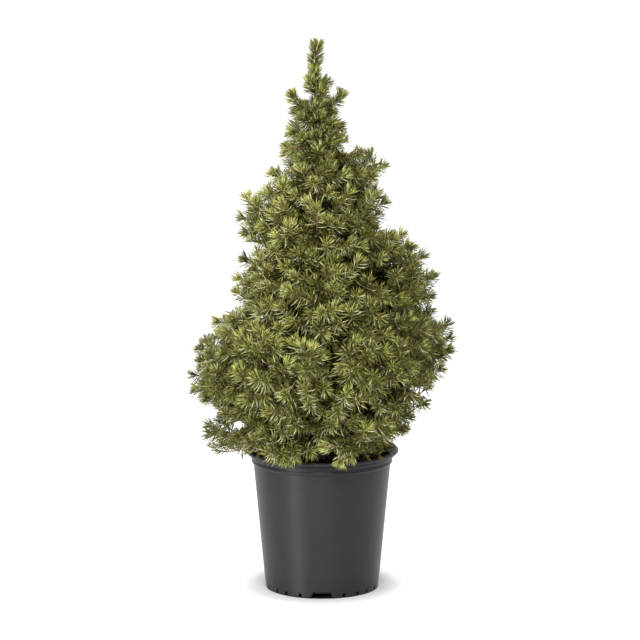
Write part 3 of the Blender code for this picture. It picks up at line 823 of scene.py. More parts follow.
def trunk_radius(height: Array) -> Array:
    """The trunk's radius at a height: an even taper with a flare at the foot."""
    height = np.asarray(height, float)
    share = np.clip((height - TRUNK_FOOT) / (TRUNK_TOP - TRUNK_FOOT), 0, 1)
    taper = TRUNK_RADIUS + (TRUNK_TIP_RADIUS - TRUNK_RADIUS) * share
    return taper + FLARE_RADIUS * np.exp(-np.maximum(height - TRUNK_FOOT, 0) / FLARE_HEIGHT)


class Kind(Enum):
    """The kinds of branches, from the limbs out."""

    LIMB = 0
    TWIG = 1
    SHOOT = 2
    BRUSH = 3
    FILL = 4
    HANGING = 5
    CREST = 6
    INNER = 7
    LEADER = 8


@dataclass
class Branches:
    """Many curved branches, each root (1 - t)^2 + turn 2t(1 - t) + tip t^2.

    A branch tapers from thick to thin, carries few needles on its first bare share, and its order is the
    number of its kind.
    """

    root: Array
    turn: Array
    tip: Array
    thick: Array
    thin: Array
    bare: Array
    order: Array

    @classmethod
    def laid(cls, root: Array, turn: Array, tip: Array, thick: object, thin: object, bare: object,
             kind: Kind) -> "Branches":
        """A set of one kind, where thick, thin and bare are an array or one number for all."""
        spread = [np.array(np.broadcast_to(part, len(root)), float) for part in (thick, thin, bare)]
        return cls(root, turn, tip, *spread, np.full(len(root), kind.value))

    @classmethod
    def joined(cls, groups: Sequence["Branches"]) -> "Branches":
        """One set made of several."""
        return cls(*(np.concatenate([getattr(group, part.name) for group in groups]) for part in fields(cls)))

    def picked(self, which: Array) -> "Branches":
        """The branches of a mask or of numbers."""
        return Branches(*(getattr(self, part.name)[which] for part in fields(self)))

    def at(self, number: Array, t: Array) -> Array:
        """Points a share t of the way along branches of those numbers."""
        t = t[..., None]
        start = self.root[number] * (1 - t) ** 2
        return start + self.turn[number] * (2 * t * (1 - t)) + self.tip[number] * t**2

    def ahead(self, number: Array, t: Array) -> Array:
        """Directions of growth there."""
        t = t[..., None]
        turn = self.turn[number]
        return unit((turn - self.root[number]) * (1 - t) + (self.tip[number] - turn) * t)

    def lengths(self) -> Array:
        """Rough lengths: the mean of the chord and of the two legs."""
        legs = np.linalg.norm(self.turn - self.root, axis=1) + np.linalg.norm(self.tip - self.turn, axis=1)
        return (np.linalg.norm(self.tip - self.root, axis=1) + legs) / 2

    def __len__(self) -> int:
        """How many there are."""
        return len(self.root)


@dataclass
class Skeleton:
    """The trunk's limbs, at the places that the source gives them."""

    outline: Outline
    azimuth_jitter: float = 5.0
    tip_jitter: float = 0.005
    spiral: float = 0.020
    spray: float = SPRAY_LENGTH * 0.86
    names: list = field(default_factory=list)
    bough: Array = field(default_factory=lambda: np.zeros(0, bool))
    first: Array = field(default_factory=lambda: np.zeros(0))
    joint: Array = field(default_factory=lambda: np.zeros(0))
    limbs: Optional[Branches] = None

    def grow(self) -> None:
        """Sets the limbs: level at first, then rising to the tip, and the leader last."""
        dice = random.Random(SEED)
        rows = []
        for tier in TIERS:
            for k in range(tier.count):
                turn = tier.first_azimuth + 360 * k / tier.count + dice.uniform(-1, 1) * self.azimuth_jitter
                spiral = 0.0 if tier.has_boughs else self.spiral * (k / tier.count - 0.5)
                top = tier.tip_height + spiral + dice.uniform(-1, 1) * self.tip_jitter
                rows.append(self.limb(tier, math.radians(turn), top))
                self.names.append(f"{tier.name}_{k + 1}")
        start = trunk_axis(TRUNK_TOP) + UP * CLEAR
        tip = trunk_axis(TREE_TOP - SPRAY_LENGTH)
        rows.append((start, (start + tip) / 2, tip, False))
        self.names.append("leader")
        root, turn, tip, bough = (np.array(column) for column in zip(*rows))
        self.bough = bough
        thick = np.where(bough, BOUGH_RADIUS, STEM_RADIUS)
        self.limbs = Branches.laid(root, turn, tip, thick, 0.0010, 0.6, Kind.LIMB)
        self.first = self.clear_shares()
        self.joint = np.where(bough, JOINT, self.first)
        self.joint[-1] = 0.0

    def limb(self, tier: Tier, azimuth: float, top: float) -> tuple:
        """One limb's root, turning point and tip."""
        length = float(self.outline.reach(top, azimuth)) - self.spray
        away = np.array((math.cos(azimuth), math.sin(azimuth), 0.0))
        start = trunk_axis(top - tier.rise)
        tip = away * length + UP * top
        level = np.linalg.norm((tip - start)[:2]) * (0.62 if tier.has_boughs else 0.5)
        return start, start + away * level + UP * (tier.rise * 0.30 + 0.004), tip, tier.has_boughs

    def clear_shares(self) -> Array:
        """The share of the way along at which each limb is 0.3 mm clear of the trunk."""
        steps = np.arange(0, 0.5, 0.002)
        count = len(self.limbs)
        number = np.repeat(np.arange(count)[:, None], len(steps), 1)
        points = self.limbs.at(number, np.repeat(steps[None], count, 0))
        away = np.linalg.norm((points - trunk_axis(points[..., 2]))[..., :2], axis=-1)
        clear = away - self.limbs.thick[:, None] - trunk_radius(points[..., 2]) >= CLEAR
        return steps[clear.argmax(1)]


@dataclass
class Studio:
    """The camera at the photograph's angle, the pale floor and the soft light."""

    distance: float = 3.7
    height: float = 0.936
    below: float = 9.742
    focal: float = 3402.0
    middle: float = 322.0
    frame_size: int = 640

    def pixels(self, points: Array) -> Array:
        """Where points show in the 640 x 640 picture: middle + focal (right, -up) / depth."""
        dip = math.radians(self.below)
        away = points - np.array((0.0, -self.distance, self.height))
        depth = away[:, 1] * math.cos(dip) - away[:, 2] * math.sin(dip)
        lift = away[:, 1] * math.sin(dip) + away[:, 2] * math.cos(dip)
        return np.stack([
            self.middle + self.focal * away[:, 0] / depth,
            self.frame_size / 2 - self.focal * lift / depth,
        ], -1)

    def sight(self, spots: Array, along: Array) -> Array:
        """The points that show at spots of the picture, at distances along Y.

        Args:
            spots: picture coordinates, (n, 2).
            along: Y of the points wanted on each line of sight, (n, m).

        Returns:
            The points, (n, m, 3).
        """
        dip = math.radians(self.below)
        right = spots[:, 0] - self.middle
        down = spots[:, 1] - self.frame_size / 2
        way = np.stack([
            right,
            self.focal * math.cos(dip) - down * math.sin(dip),
            -self.focal * math.sin(dip) - down * math.cos(dip),
        ], -1)
        share = (along + self.distance) / way[:, 1:2]
        return np.array((0.0, -self.distance, self.height)) + way[:, None] * share[..., None]

    def place_camera(self) -> None:
        """Puts the camera where the photograph was taken from."""
        data = bpy.data.cameras.new("camera")
        data.sensor_width = 36.0
        data.lens = self.focal * 36.0 / self.frame_size
        data.shift_x = (self.frame_size / 2 - self.middle) / self.frame_size
        data.clip_end = 50.0
        camera = bpy.data.objects.new("camera", data)
        camera.location = (0.0, -self.distance, self.height)
        camera.rotation_euler = (math.radians(90 - self.below), 0.0, 0.0)
        bpy.context.scene.collection.objects.link(camera)
        bpy.context.scene.camera = camera

    def lay_floor(self) -> bpy.types.Object:
        """A wide pale floor, a little uneven, painted nearly black under the pot as shade, and glowing
        faintly away from it.
        """
        bench = Bench("studio_floor")
        cloud = bench.noise(3.0, 3.0)
        length = bench.node("ShaderNodeVectorMath", {"operation": "LENGTH"}, {0: bench.place})
        radius = Value(bench, length.outputs[1])
        pale = bench.blend(cloud, (0.61, 0.61, 0.61), (0.65, 0.65, 0.65))
        finish = bench.done({
            # Painted shade: the floor under the pot's foot is nearly black, so the drain mouths show dark.
            "Base Color": bench.blend(radius.between(0.0600, 0.0634), (0.02, 0.02, 0.02), pale),
            "Roughness": 0.75 + cloud * 0.1,
            "Specular IOR Level": 0.2,
            "Emission Color": bench.blend(radius.between(0.066, 0.112), (0.0, 0.0, 0.0), (1.0, 1.0, 1.0)),
            "Emission Strength": 0.54,
        })
        reach = 14.0
        points = np.array([(-reach, -reach, 0), (reach, -reach, 0), (reach, reach, 0), (-reach, reach, 0)])
        floor = lay_mesh("studio_floor", points, [np.array([(0, 1, 2, 3)])], [finish], smooth=False)
        return floor

    def light_up(self) -> None:
        """A white surround, a tall soft box on the left, one high in front, one at the side and one above."""
        world = bpy.data.worlds.new("surround")
        world.use_nodes = True
        back = world.node_tree.nodes["Background"]
        back.inputs[0].default_value = (1.0, 1.0, 1.0, 1.0)
        back.inputs[1].default_value = 1.0
        bpy.context.scene.world = world
        boxes = (
            ("key", (-1.85, -1.80, 0.52), (0.26, 0.9), 44.0),
            ("front", (0.0, -2.5, 2.9), (1.4, 1.0), 82.0),
            ("side", (-2.6, -0.6, 0.9), (1.3, 1.7), 2.0),
            ("top", (-0.4, -0.6, 3.2), (2.0, 2.0), 18.0),
        )
        for name, place, size, power in boxes:
            data = bpy.data.lights.new(name, "AREA")
            data.shape = "RECTANGLE"
            data.size, data.size_y = size
            data.energy = power
            lamp = bpy.data.objects.new(name, data)
            lamp.location = place
            aim = -np.array(place) + np.array((0.0, 0.0, 0.3))
            level = math.hypot(aim[0], aim[1])
            lamp.rotation_euler = (math.atan2(level, -aim[2]), 0.0, math.atan2(-aim[0], aim[1]))
            bpy.context.scene.collection.objects.link(lamp)
        bpy.context.scene.view_settings.view_transform = "Standard"


@dataclass
class Surface:
    """The crown's surface: lobes with furrows between them, and hollows where the photograph is dark.

    Its left and right edges follow the measured ones every 8 mm of height, as far as the needles reach. Most
    of these numbers are the output of a program that measured the photograph's outline.
    """

    outline: Outline
    studio: Studio
    bottom: float = 0.150
    step: float = 0.008
    left: tuple = (
        0.086, 0.105, 0.129, 0.129, 0.127, 0.118, 0.115, 0.119, 0.134, 0.142, 0.145, 0.150, 0.137, 0.138,
        0.137, 0.138, 0.132, 0.119, 0.119, 0.118, 0.087, 0.083, 0.092, 0.097, 0.092, 0.097, 0.084, 0.087,
        0.084, 0.068, 0.082, 0.089, 0.088, 0.094, 0.083, 0.085, 0.091, 0.061, 0.060, 0.060, 0.061, 0.041,
        0.044, 0.046, 0.038, 0.042, 0.037, 0.031, 0.026, 0.022, 0.018, 0.015, 0.013, 0.012, 0.012, 0.012,
        0.012, 0.012, 0.012,
    )
    right: tuple = (
        0.083, 0.086, 0.082, 0.091, 0.095, 0.098, 0.103, 0.117, 0.118, 0.124, 0.131, 0.126, 0.134, 0.132,
        0.142, 0.143, 0.142, 0.138, 0.143, 0.139, 0.119, 0.121, 0.124, 0.120, 0.124, 0.125, 0.117, 0.113,
        0.115, 0.102, 0.092, 0.093, 0.068, 0.068, 0.072, 0.071, 0.070, 0.064, 0.063, 0.065, 0.071, 0.056,
        0.057, 0.024, 0.023, 0.025, 0.025, 0.024, 0.018, 0.014, 0.011, 0.008, 0.006, 0.004, 0.002, 0.001,
        0.001, 0.001, 0.001,
    )
    lobe: float = 0.046
    lobe_tries: int = 9000
    lobe_rise: tuple = (-0.004, 0.002)
    furrow: float = 0.013
    hollows: tuple = (
        (397, 284, 12.0), (309, 241, 9.0), (285, 376, 9.0), (319, 366, 8.0), (417, 341, 9.0), (376, 210, 6.0),
        (305, 426, 12.0), (354, 410, 12.0), (356, 437, 9.0), (335, 205, 7.0), (262, 318, 6.0),
    )
    hollow_depth: float = 0.017
    lowest: float = 0.140
    highest: float = 0.622
    rows: int = 240
    columns: int = 360
    grid: Optional[Array] = None

    def prepare(self) -> None:
        """Works the surface out on a grid of heights and azimuths.

        Near the left and right edges it is the measured reach. Elsewhere it is the smooth reach, less the
        furrow's depth where the nearest lobe's middle is far. Hollows are taken off it in front only.
        """
        dice = np.random.default_rng(SEED + 40)
        height, azimuth = np.meshgrid(
            np.linspace(self.lowest, self.highest, self.rows),
            np.linspace(-math.pi, math.pi, self.columns + 1), indexing="ij",
        )
        spots = self.placed(height, azimuth)
        order = dice.permutation(height.size)[:self.lobe_tries]
        middles = spots.reshape(-1, 3)[order]
        middles = middles[spaced(middles, self.lobe, np.zeros((0, 3)))]
        away = np.full(height.shape, 1.0)
        proud = np.zeros(height.shape)
        for middle, rise in zip(middles, dice.uniform(*self.lobe_rise, len(middles))):
            far = np.linalg.norm(spots - middle, axis=-1)
            proud = np.where(far < away, rise, proud)
            away = np.minimum(far, away)
        furrow = smooth_step(away, 0.35 * self.lobe, 0.70 * self.lobe)
        crest = 1 - 0.45 * smooth_step(height, 0.525, 0.548)
        lobed = (self.outline.reach(height, azimuth) - self.furrow * furrow + proud * (1 - furrow)) * crest
        steps = self.bottom + self.step * np.arange(len(self.left))
        right, left = np.interp(height, steps, self.right), np.interp(height, steps, self.left)
        edge = np.where(np.cos(azimuth) > 0, right, left)
        near = smooth_step(np.abs(np.cos(azimuth)), 0.80, 0.95)
        self.grid = lobed + (edge * self.outline.squared(azimuth) - lobed) * near
        picture = self.studio.pixels(spots.reshape(-1, 3)).reshape(*height.shape, 2)
        for across, down, size in self.hollows:
            far = np.linalg.norm(picture - np.array((across, down)), axis=-1)
            self.grid -= self.hollow_depth * smooth_step(1 - far / size, 0, 0.7) * (np.sin(azimuth) < -0.2)
        self.grid = np.maximum(self.grid, 0.002)

    def placed(self, height: Array, azimuth: Array) -> Array:
        """Points on the smooth outline."""
        reach = self.outline.reach(height, azimuth)
        return np.stack([reach * np.cos(azimuth), reach * np.sin(azimuth), height], -1)

    def reach(self, height: Array, azimuth: Array) -> Array:
        """The surface's reach, read between the four nearest points of the grid."""
        tall = np.clip((height - self.lowest) / (self.highest - self.lowest), 0, 1) * (self.rows - 1)
        turn = ((azimuth + math.pi) / (2 * math.pi) % 1.0) * self.columns
        row = np.minimum(tall.astype(int), self.rows - 2)
        column = np.minimum(turn.astype(int), self.columns - 1)
        up, on = tall - row, turn - column
        low = self.grid[row, column] * (1 - on) + self.grid[row, column + 1] * on
        high = self.grid[row + 1, column] * (1 - on) + self.grid[row + 1, column + 1] * on
        return low * (1 - up) + high * up

    def room(self, points: Array) -> Array:
        """How far each point lies inside the surface, negative outside it."""
        azimuth = np.arctan2(points[:, 1], points[:, 0])
        room = self.reach(points[:, 2], azimuth) - np.hypot(points[:, 0], points[:, 1])
        return np.where(points[:, 2] > TREE_TOP + 0.002, -1.0, room)


def nearest(points: Array, pieces: Array, chunk: int = 6000) -> Array:
    """Distance from each point to the nearest of some segments.

    Args:
        points: (n, 3).
        pieces: segments as pairs of points, (m, 2, 3).
        chunk: how many points are worked out at once.

    Returns:
        The distances, (n,).
    """
    start, along = pieces[:, 0].astype(np.float32), (pieces[:, 1] - pieces[:, 0]).astype(np.float32)
    square = np.maximum((along**2).sum(1), 1e-12)
    found = np.empty(len(points), np.float32)
    for low in range(0, len(points), chunk):
        offset = points[low:low + chunk, None].astype(np.float32) - start[None]
        share = np.clip((offset * along[None]).sum(2) / square[None], 0, 1)
        offset -= share[..., None] * along[None]
        found[low:low + chunk] = np.sqrt((offset**2).sum(2).min(1))
    return found


@dataclass
class Space:
    """What twigs may fill: inside the surface, clear of the pot, and nearer to their own stem."""

    surface: Surface
    skeleton: Skeleton
    studio: Studio
    samples: int = 8
    lowest: float = 0.1635
    gaps: tuple = (
        (239, 425, 5.0), (232, 427, 3.5), (245, 427, 2.5), (216, 378, 2.5), (411, 389, 3.5), (418, 390, 4.0),
        (425, 392, 4.5), (433, 394, 5.0), (402, 443, 4.0), (261, 317, 2.5), (391, 265, 2.5), (418, 341, 2.0),
        (233, 461, 9.0), (323, 459, 5.0), (332, 459, 5.5), (364, 460, 6.0), (374, 457, 5.0),
        (388, 456, 5.0), (261, 459, 4.0), (253, 457, 5.0), (219, 419, 3.0), (228, 431, 3.0), (413, 403, 2.5),
        (288, 176, 3.0), (349, 146, 5.0),
    )
    stems: list = field(default_factory=list)
    boughs: Optional[Array] = None

    def prepare(self) -> None:
        """Cuts the stems and boughs into short segments."""
        limbs, joints = self.skeleton.limbs, self.skeleton.joint
        for k in range(len(limbs)):
            self.stems.append(self.pieces(k, joints[k], 1.0))
        bare = [self.pieces(k, 0.0, joints[k]) for k in range(len(limbs)) if self.skeleton.bough[k]]
        self.boughs = np.concatenate(bare)

    def pieces(self, number: int, first: float, last: float) -> Array:
        """The short segments of a limb between two shares of its length."""
        shares = np.linspace(first, last, self.samples)
        line = self.skeleton.limbs.at(np.full(self.samples, number), shares)
        return np.stack([line[:-1], line[1:]], axis=1)

    def in_pot(self, points: Array, margin: float) -> Array:
        """True for each point in, or within a margin of, the pot's rim and wall or the mix."""
        radius, height = np.hypot(points[:, 0], points[:, 1]), points[:, 2]
        over_mouth = radius < WALL_TOP_RADIUS - WALL - margin
        sunk = over_mouth & (height < SOIL_TOP + margin)
        wall = np.where(height > POT_HEIGHT - 0.012, LIP_RADIUS, WALL_TOP_RADIUS + 0.002) + margin
        return sunk | ((radius < wall) & ~over_mouth & (height < POT_HEIGHT + margin))

    def open_sky(self, points: Array, ragged: Optional[Array] = None) -> Array:
        """True for each point that shows in a gap where the photograph has white.

        Args:
            points: (n, 3).
            ragged: what each point multiplies the gaps' radii by, or None.

        Returns:
            A mask of the points.
        """
        spots = self.studio.pixels(points)
        gaps = np.array(self.gaps)
        away = np.linalg.norm(spots[:, None] - gaps[None, :, :2], axis=2)
        return (away < gaps[None, :, 2] * (1.0 if ragged is None else ragged[:, None])).any(1)

    def free(self, points: Array, inset: Array) -> Array:
        """True for each point inside the surface by an inset and clear of the pot, trunk and boughs."""
        free = self.surface.room(points) >= inset
        free &= ~self.in_pot(points, 0.003)
        free &= points[:, 2] > self.lowest
        free &= ~self.open_sky(points)
        away = np.linalg.norm((points - trunk_axis(points[:, 2]))[:, :2], axis=1)
        return free & ((away > trunk_radius(points[:, 2]) + 0.0012) | (points[:, 2] > TRUNK_TOP))

    def own(self, index: Array, points: Array) -> Array:
        """True for each point nearer to its own stem than to any other, and clear of the boughs."""
        distances = np.stack([nearest(points, stem) for stem in self.stems], 1)
        mine = distances[np.arange(len(points)), index]
        return (distances.argmin(1) == index) & (mine > 0) & (nearest(points, self.boughs) > 0.0042)


class Dress(NamedTuple):
    """How needles stand on one kind of branch: the body's, then those of the brush at its tip.

    Leans are degrees off the branch, and lengths are metres. A brush's needles end in one flat top, a plane's
    height ahead of the tip.
    """

    per_metre: float
    lean_near: float
    lean_far: float
    length: float
    tuft: int
    open: float
    plane: float
    tuft_depth: float


PLAIN_SPRAY = Dress(1750, 42, 70, 0.0142, 15, 46, 0.0064, 0.0060)
DRESSES = {
    Kind.LIMB: Dress(900, 50, 68, 0.0120, 0, 0, 0.006, 0.006),
    Kind.TWIG: PLAIN_SPRAY,
    Kind.SHOOT: PLAIN_SPRAY,
    Kind.BRUSH: Dress(1900, 38, 66, 0.0146, 27, 34, 0.0070, 0.0065),
    Kind.FILL: PLAIN_SPRAY,
    Kind.HANGING: Dress(1800, 40, 62, 0.0128, 22, 42, 0.0064, 0.0060),
    Kind.CREST: Dress(4600, 42, 60, 0.0128, 42, 33, 0.0070, 0.0070),
    Kind.INNER: Dress(680, 45, 68, 0.0122, 6, 50, 0.006, 0.006),
    Kind.LEADER: Dress(7500, 45, 62, 0.0130, 50, 38, 0.0072, 0.0085),
}

# Tips of shoots, as places in a 640 x 640 picture. Six of the last seven stand where a program found the
# photograph lighter or darker than an earlier render.
BRUSH_TIPS = (
    (272, 172), (283, 181), (246, 196), (257, 200), (241, 217), (359, 153), (370, 153), (383, 165),
    (373, 176), (385, 201), (403, 234), (393, 236), (318, 148), (346, 173), (359, 172), (307, 200),
    (359, 225), (371, 219), (339, 223), (326, 219), (282, 186), (268, 192), (281, 202), (300, 160),
    (331, 165), (313, 181), (330, 192), (376, 190), (262, 225), (290, 225), (276, 236), (244, 232),
    (244, 259), (238, 277), (236, 291), (246, 310), (216, 321), (232, 319), (205, 340), (200, 348),
    (200, 359), (192, 375), (195, 389), (205, 399), (219, 419), (209, 425), (208, 434), (410, 247),
    (423, 255), (433, 275), (430, 296), (448, 323), (450, 337), (450, 350), (441, 368), (439, 382),
    (426, 403), (410, 416), (405, 428), (287, 289), (285, 266), (294, 275), (301, 344), (340, 291),
    (384, 297), (401, 298), (371, 303), (321, 312), (351, 309), (291, 321), (323, 334), (388, 335),
    (382, 319), (266, 337), (293, 341), (323, 355), (357, 341), (401, 344), (287, 362), (307, 368),
    (257, 348), (239, 369), (255, 378), (342, 366), (367, 355), (387, 351), (230, 394), (310, 401),
    (351, 403), (267, 410), (294, 423), (332, 423), (366, 426), (378, 384), (285, 394), (337, 412),
    (275, 250), (312, 253), (351, 243), (334, 257), (360, 260), (337, 271), (305, 241), (411, 318),
    (425, 345), (414, 366), (400, 378), (396, 408), (390, 430), (240, 340), (222, 352), (215, 371),
    (245, 400), (262, 432), (250, 441), (278, 349), (277, 341), (325, 447), (311, 452), (347, 392),
    (336, 307), (305, 383), (279, 328), (313, 347),
)

# Clumps that stand in the shade, and clumps that catch the light, as places in the same picture. Most of them
# come from that program too.
# Sprays at these clumps get painted shade, darker tints, and painted light, lighter tints.
SHADY = (
    (244, 287), (211, 342), (307, 360), (252, 214), (427, 344), (225, 348), (248, 267), (343, 448),
    (417, 362), (441, 349), (252, 229), (330, 158), (363, 164), (375, 358), (205, 366), (285, 421),
    (303, 434), (332, 257), (364, 153), (428, 282), (387, 289), (230, 340), (348, 218), (319, 280),
    (364, 443), (379, 211), (421, 269), (317, 364),
)
SUNNY = (
    (344, 388), (295, 181), (331, 396), (338, 334), (311, 339), (344, 301), (370, 265), (282, 330),
    (386, 395), (330, 295), (346, 158), (260, 318), (328, 433), (391, 312), (330, 318), (325, 446),
    (267, 380), (377, 422), (391, 399), (335, 374), (278, 274), (340, 469),
)

# Shoots round the leader and the spire: root height, tip's place in the picture, tip's distance along Y.
CREST = (
    (0.556, 310.5, 78, -0.004), (0.552, 310.5, 86, 0.004), (0.556, 326.0, 81, 0.002),
    (0.546, 323.5, 90, -0.010), (0.549, 315.0, 83, 0.012), (0.524, 292.5, 94, -0.003),
    (0.529, 341.0, 94, 0.002), (0.518, 303.0, 117, -0.014), (0.514, 333.0, 122, -0.014),
    (0.508, 292.0, 132, -0.003), (0.514, 339.5, 126, 0.004), (0.500, 340.0, 139, -0.004),
    (0.500, 316.0, 135, -0.023), (0.484, 287.0, 152, -0.002), (0.528, 326.0, 101, 0.014),
    (0.528, 305.0, 105, 0.014), (0.500, 333.0, 132, 0.025), (0.498, 299.0, 138, 0.024),
    (0.518, 319.0, 115, -0.012), (0.520, 297.0, 112, 0.008), (0.505, 325.0, 131, -0.016),
    (0.495, 304.0, 138, -0.016), (0.490, 329.0, 144, -0.020), (0.510, 311.0, 124, 0.014),
    (0.505, 326.0, 124, 0.016), (0.520, 331.0, 112, 0.006), (0.500, 288.0, 146, 0.006),
    (0.535, 316.0, 102, 0.010), (0.484, 338.0, 157, -0.016), (0.480, 322.0, 158, -0.024),
    (0.484, 306.0, 156, -0.018), (0.470, 351.0, 168, -0.012), (0.530, 318.0, 103, -0.010),
)

# Tips of sprays with a place on the tree: five inside the pot's rim at the right, and two that close a bare
# spot on the left side.
PLACED_SPRAYS = (
    (0.065, -0.010, 0.1640), (0.054, -0.036, 0.1620), (0.066, 0.014, 0.1670), (0.060, -0.024, 0.1635),
    (0.046, -0.046, 0.1600), (-0.122, -0.022, 0.277), (-0.120, -0.036, 0.271),
)


@dataclass
class Crown:
    """The foliage: twigs, shoots, needles and buds, grown on from the limbs."""

    surface: Surface
    skeleton: Skeleton
    space: Space
    twig_candidates: int = 90
    twig_spacing: float = 0.020
    twig_lean: float = 58.0
    twig_lean_spread: float = 18.0
    shortest_twig: float = 0.016
    shoot_lean: float = 54.0
    shoot_lean_spread: float = 14.0
    shortest_shoot: float = 0.009
    shoot_spacing: float = 0.0150
    fill_spacing: float = 0.0115
    fill_gap: float = 0.0158
    bearing: float = 0.034
    inner_per_metre: float = 380.0
    tuft: float = 0.0070
    rod_radius: float = 0.00040
    spindle_radius: float = 0.00076
    inner_spacing: float = 0.0105
    rod_root: float = 0.75
    rod_middle: float = 0.60
    rod_bow: float = 0.07
    spindle_middle: float = 0.45
    pot_margin: float = 0.0006
    stray: float = 0.007
    widest: float = 0.1525
    piece_limit: int = 195000
    bud_back: float = 0.0012
    bud_waist: float = 0.0006
    bud_radius: float = 0.00095
    bud_point: float = 0.0026
    # Places in the picture where sprays get painted shade.
    dim_spots: tuple = ((384, 446, 14), (366, 448, 10), (300, 438, 12), (350, 441, 12))
    twigs: Optional[Branches] = None
    shoots: Optional[Branches] = None

    def march(self, root: Array, ahead: Array, bend: Array, longest: Array, inset: Array,
              owner: Optional[Array] = None) -> Array:
        """How far a curve root + ahead s + bend (s / longest)^2 stays in free space.

        Args:
            root: where each curve starts, (n, 3).
            ahead: its first direction, (n, 3).
            bend: how far it has bent away at its longest, (n, 3).
            longest: its greatest length, (n,).
            inset: how far inside the surface it must stay, (n,).
            owner: the number of the stem whose space it keeps to, or None.

        Returns:
            The length, (n,).
        """
        steps = np.linspace(0.0, 1.0, 21)
        along = longest[:, None] * steps[None]
        points = root[:, None] + ahead[:, None] * along[..., None]
        points += bend[:, None] * (steps**2)[None, :, None]
        flat = points.reshape(-1, 3)
        free = self.space.free(flat, np.repeat(inset, len(steps)))
        if owner is not None:
            free &= self.space.own(np.repeat(owner, len(steps)), flat)
        free = free.reshape(len(root), -1)
        free[:, along[0] <= 0.004] = True
        free[:, 0] = True
        free[:, 1] |= free[:, 2]
        held = np.where(free.all(1), len(steps), (~free).argmax(1)) - 1
        return along[np.arange(len(root)), held]

    def outward(self, points: Array) -> Array:
        """Level unit directions away from the trunk's axis."""
        away = points - trunk_axis(points[:, 2])
        return unit(away * np.array((1.0, 1.0, 0.0)) + np.array((1e-6, 0.0, 0.0)))

    def light_bend(self, root: Array, longest: Array, dice: np.random.Generator) -> Array:
        """How a branch bends as it grows: out of the crown and up, more up near the top."""
        high = np.clip((root[:, 2] - 0.25) / 0.30, 0, 1)
        out = self.outward(root) * (0.38 * (1 - 0.6 * high))[:, None] + UP * (0.20 + 0.28 * high)[:, None]
        return out * (longest * dice.uniform(0.5, 1.1, len(root)))[:, None]

    def grow_ends(self) -> Branches:
        """The end of each stem goes on ahead and a little up, to near the surface."""
        dice = np.random.default_rng(SEED + 5)
        limbs = self.skeleton.limbs
        count = len(limbs)
        number = np.arange(count)
        ahead = limbs.ahead(number, np.ones(count))
        longest = np.full(count, 0.040)
        bend = self.light_bend(limbs.tip, longest, dice) * 0.3
        held = self.march(limbs.tip, ahead, bend, longest, np.full(count, self.tuft - 0.001))
        tip = bent_end(limbs.tip, ahead, bend, held, longest)
        turn = limbs.tip + ahead * held[:, None] / 2
        tip[-1] = trunk_axis(np.array([TREE_TOP - 0.0055]))[0] + np.array((0.0022, 0.0, 0.0))
        turn[-1] = (limbs.tip[-1] + tip[-1]) / 2
        made = Branches.laid(limbs.tip, turn, tip, 0.0010, 0.0006, 0.0, Kind.TWIG)
        made.order[-1] = Kind.LEADER.value
        return made

    def grow_crest(self) -> Branches:
        """The shoots round the leader and the spire leave the trunk outwards and turn up to their tips."""
        rows = np.array(CREST)
        tip = self.surface.studio.sight(rows[:, 1:3], rows[:, 3:4])[:, 0]
        root = trunk_axis(rows[:, 0])
        turn = root + (tip - root) * np.array((0.84, 0.84, 0.42))
        return Branches.laid(root, turn, tip, 0.00085, 0.0006, 0.06, Kind.CREST)

    def grow_twigs(self) -> None:
        """Twigs leave each stem by the golden angle, leaning away from it and up, to near the surface."""
        dice = np.random.default_rng(SEED)
        limbs, joint = self.skeleton.limbs, self.skeleton.joint
        count = len(limbs) - 1
        k = np.arange(self.twig_candidates)
        share = (k * GOLDEN_SHARE) % 1.0
        number = np.tile(np.arange(count), len(k))
        share = np.repeat(share, count)
        spin = np.repeat(k, count) * GOLDEN_ANGLE + number
        t = joint[number] + (1 - joint[number]) * (0.08 + 0.90 * share)
        root, along = limbs.at(number, t), limbs.ahead(number, t)
        side = around(along, spin)
        spread = dice.uniform(-1, 1, len(t)) * math.radians(self.twig_lean_spread)
        lean = math.radians(self.twig_lean) * (1 - 0.35 * share) + spread
        high = np.clip((root[:, 2] - 0.2) / 0.35, 0, 1)
        away = unit(leaning(along, side, lean) + UP * (0.14 + 0.30 * high)[:, None])
        size = np.linalg.norm(limbs.tip - limbs.root, axis=1)[number]
        longest = np.clip(0.030 + 0.62 * size * (1 - joint[number]) * (1 - 0.45 * share), 0.03, 0.085)
        bend = self.light_bend(root, longest, dice)
        inset = self.tuft + 0.009 * dice.uniform(0, 1, len(t)) ** 2
        held = self.march(root, away, bend, longest, inset, number)
        size = held * dice.uniform(0.88, 1.0, len(t))
        tip = bent_end(root, away, bend, size, longest)
        rank = np.clip(1 - self.surface.room(tip) / 0.05, 0, 1) - 2.0 * size
        order = np.argsort(-rank + 0.25 * dice.uniform(0, 1, len(t)))
        order = order[size[order] > self.shortest_twig]
        ends = Branches.joined([self.grow_ends(), self.grow_crest()])
        pick = order[spaced(tip[order], self.twig_spacing, ends.tip)]
        base = np.clip(0.0007 + 0.011 * size[pick], 0.0008, 0.0015)
        bare = np.clip(1 - self.bearing / np.maximum(size[pick], 1e-6), 0.06, 1)
        turn = root[pick] + away[pick] * size[pick, None] / 2
        made = Branches.laid(root[pick], turn, tip[pick], base, 0.00055, bare, Kind.TWIG)
        self.twigs = Branches.joined([ends, made])

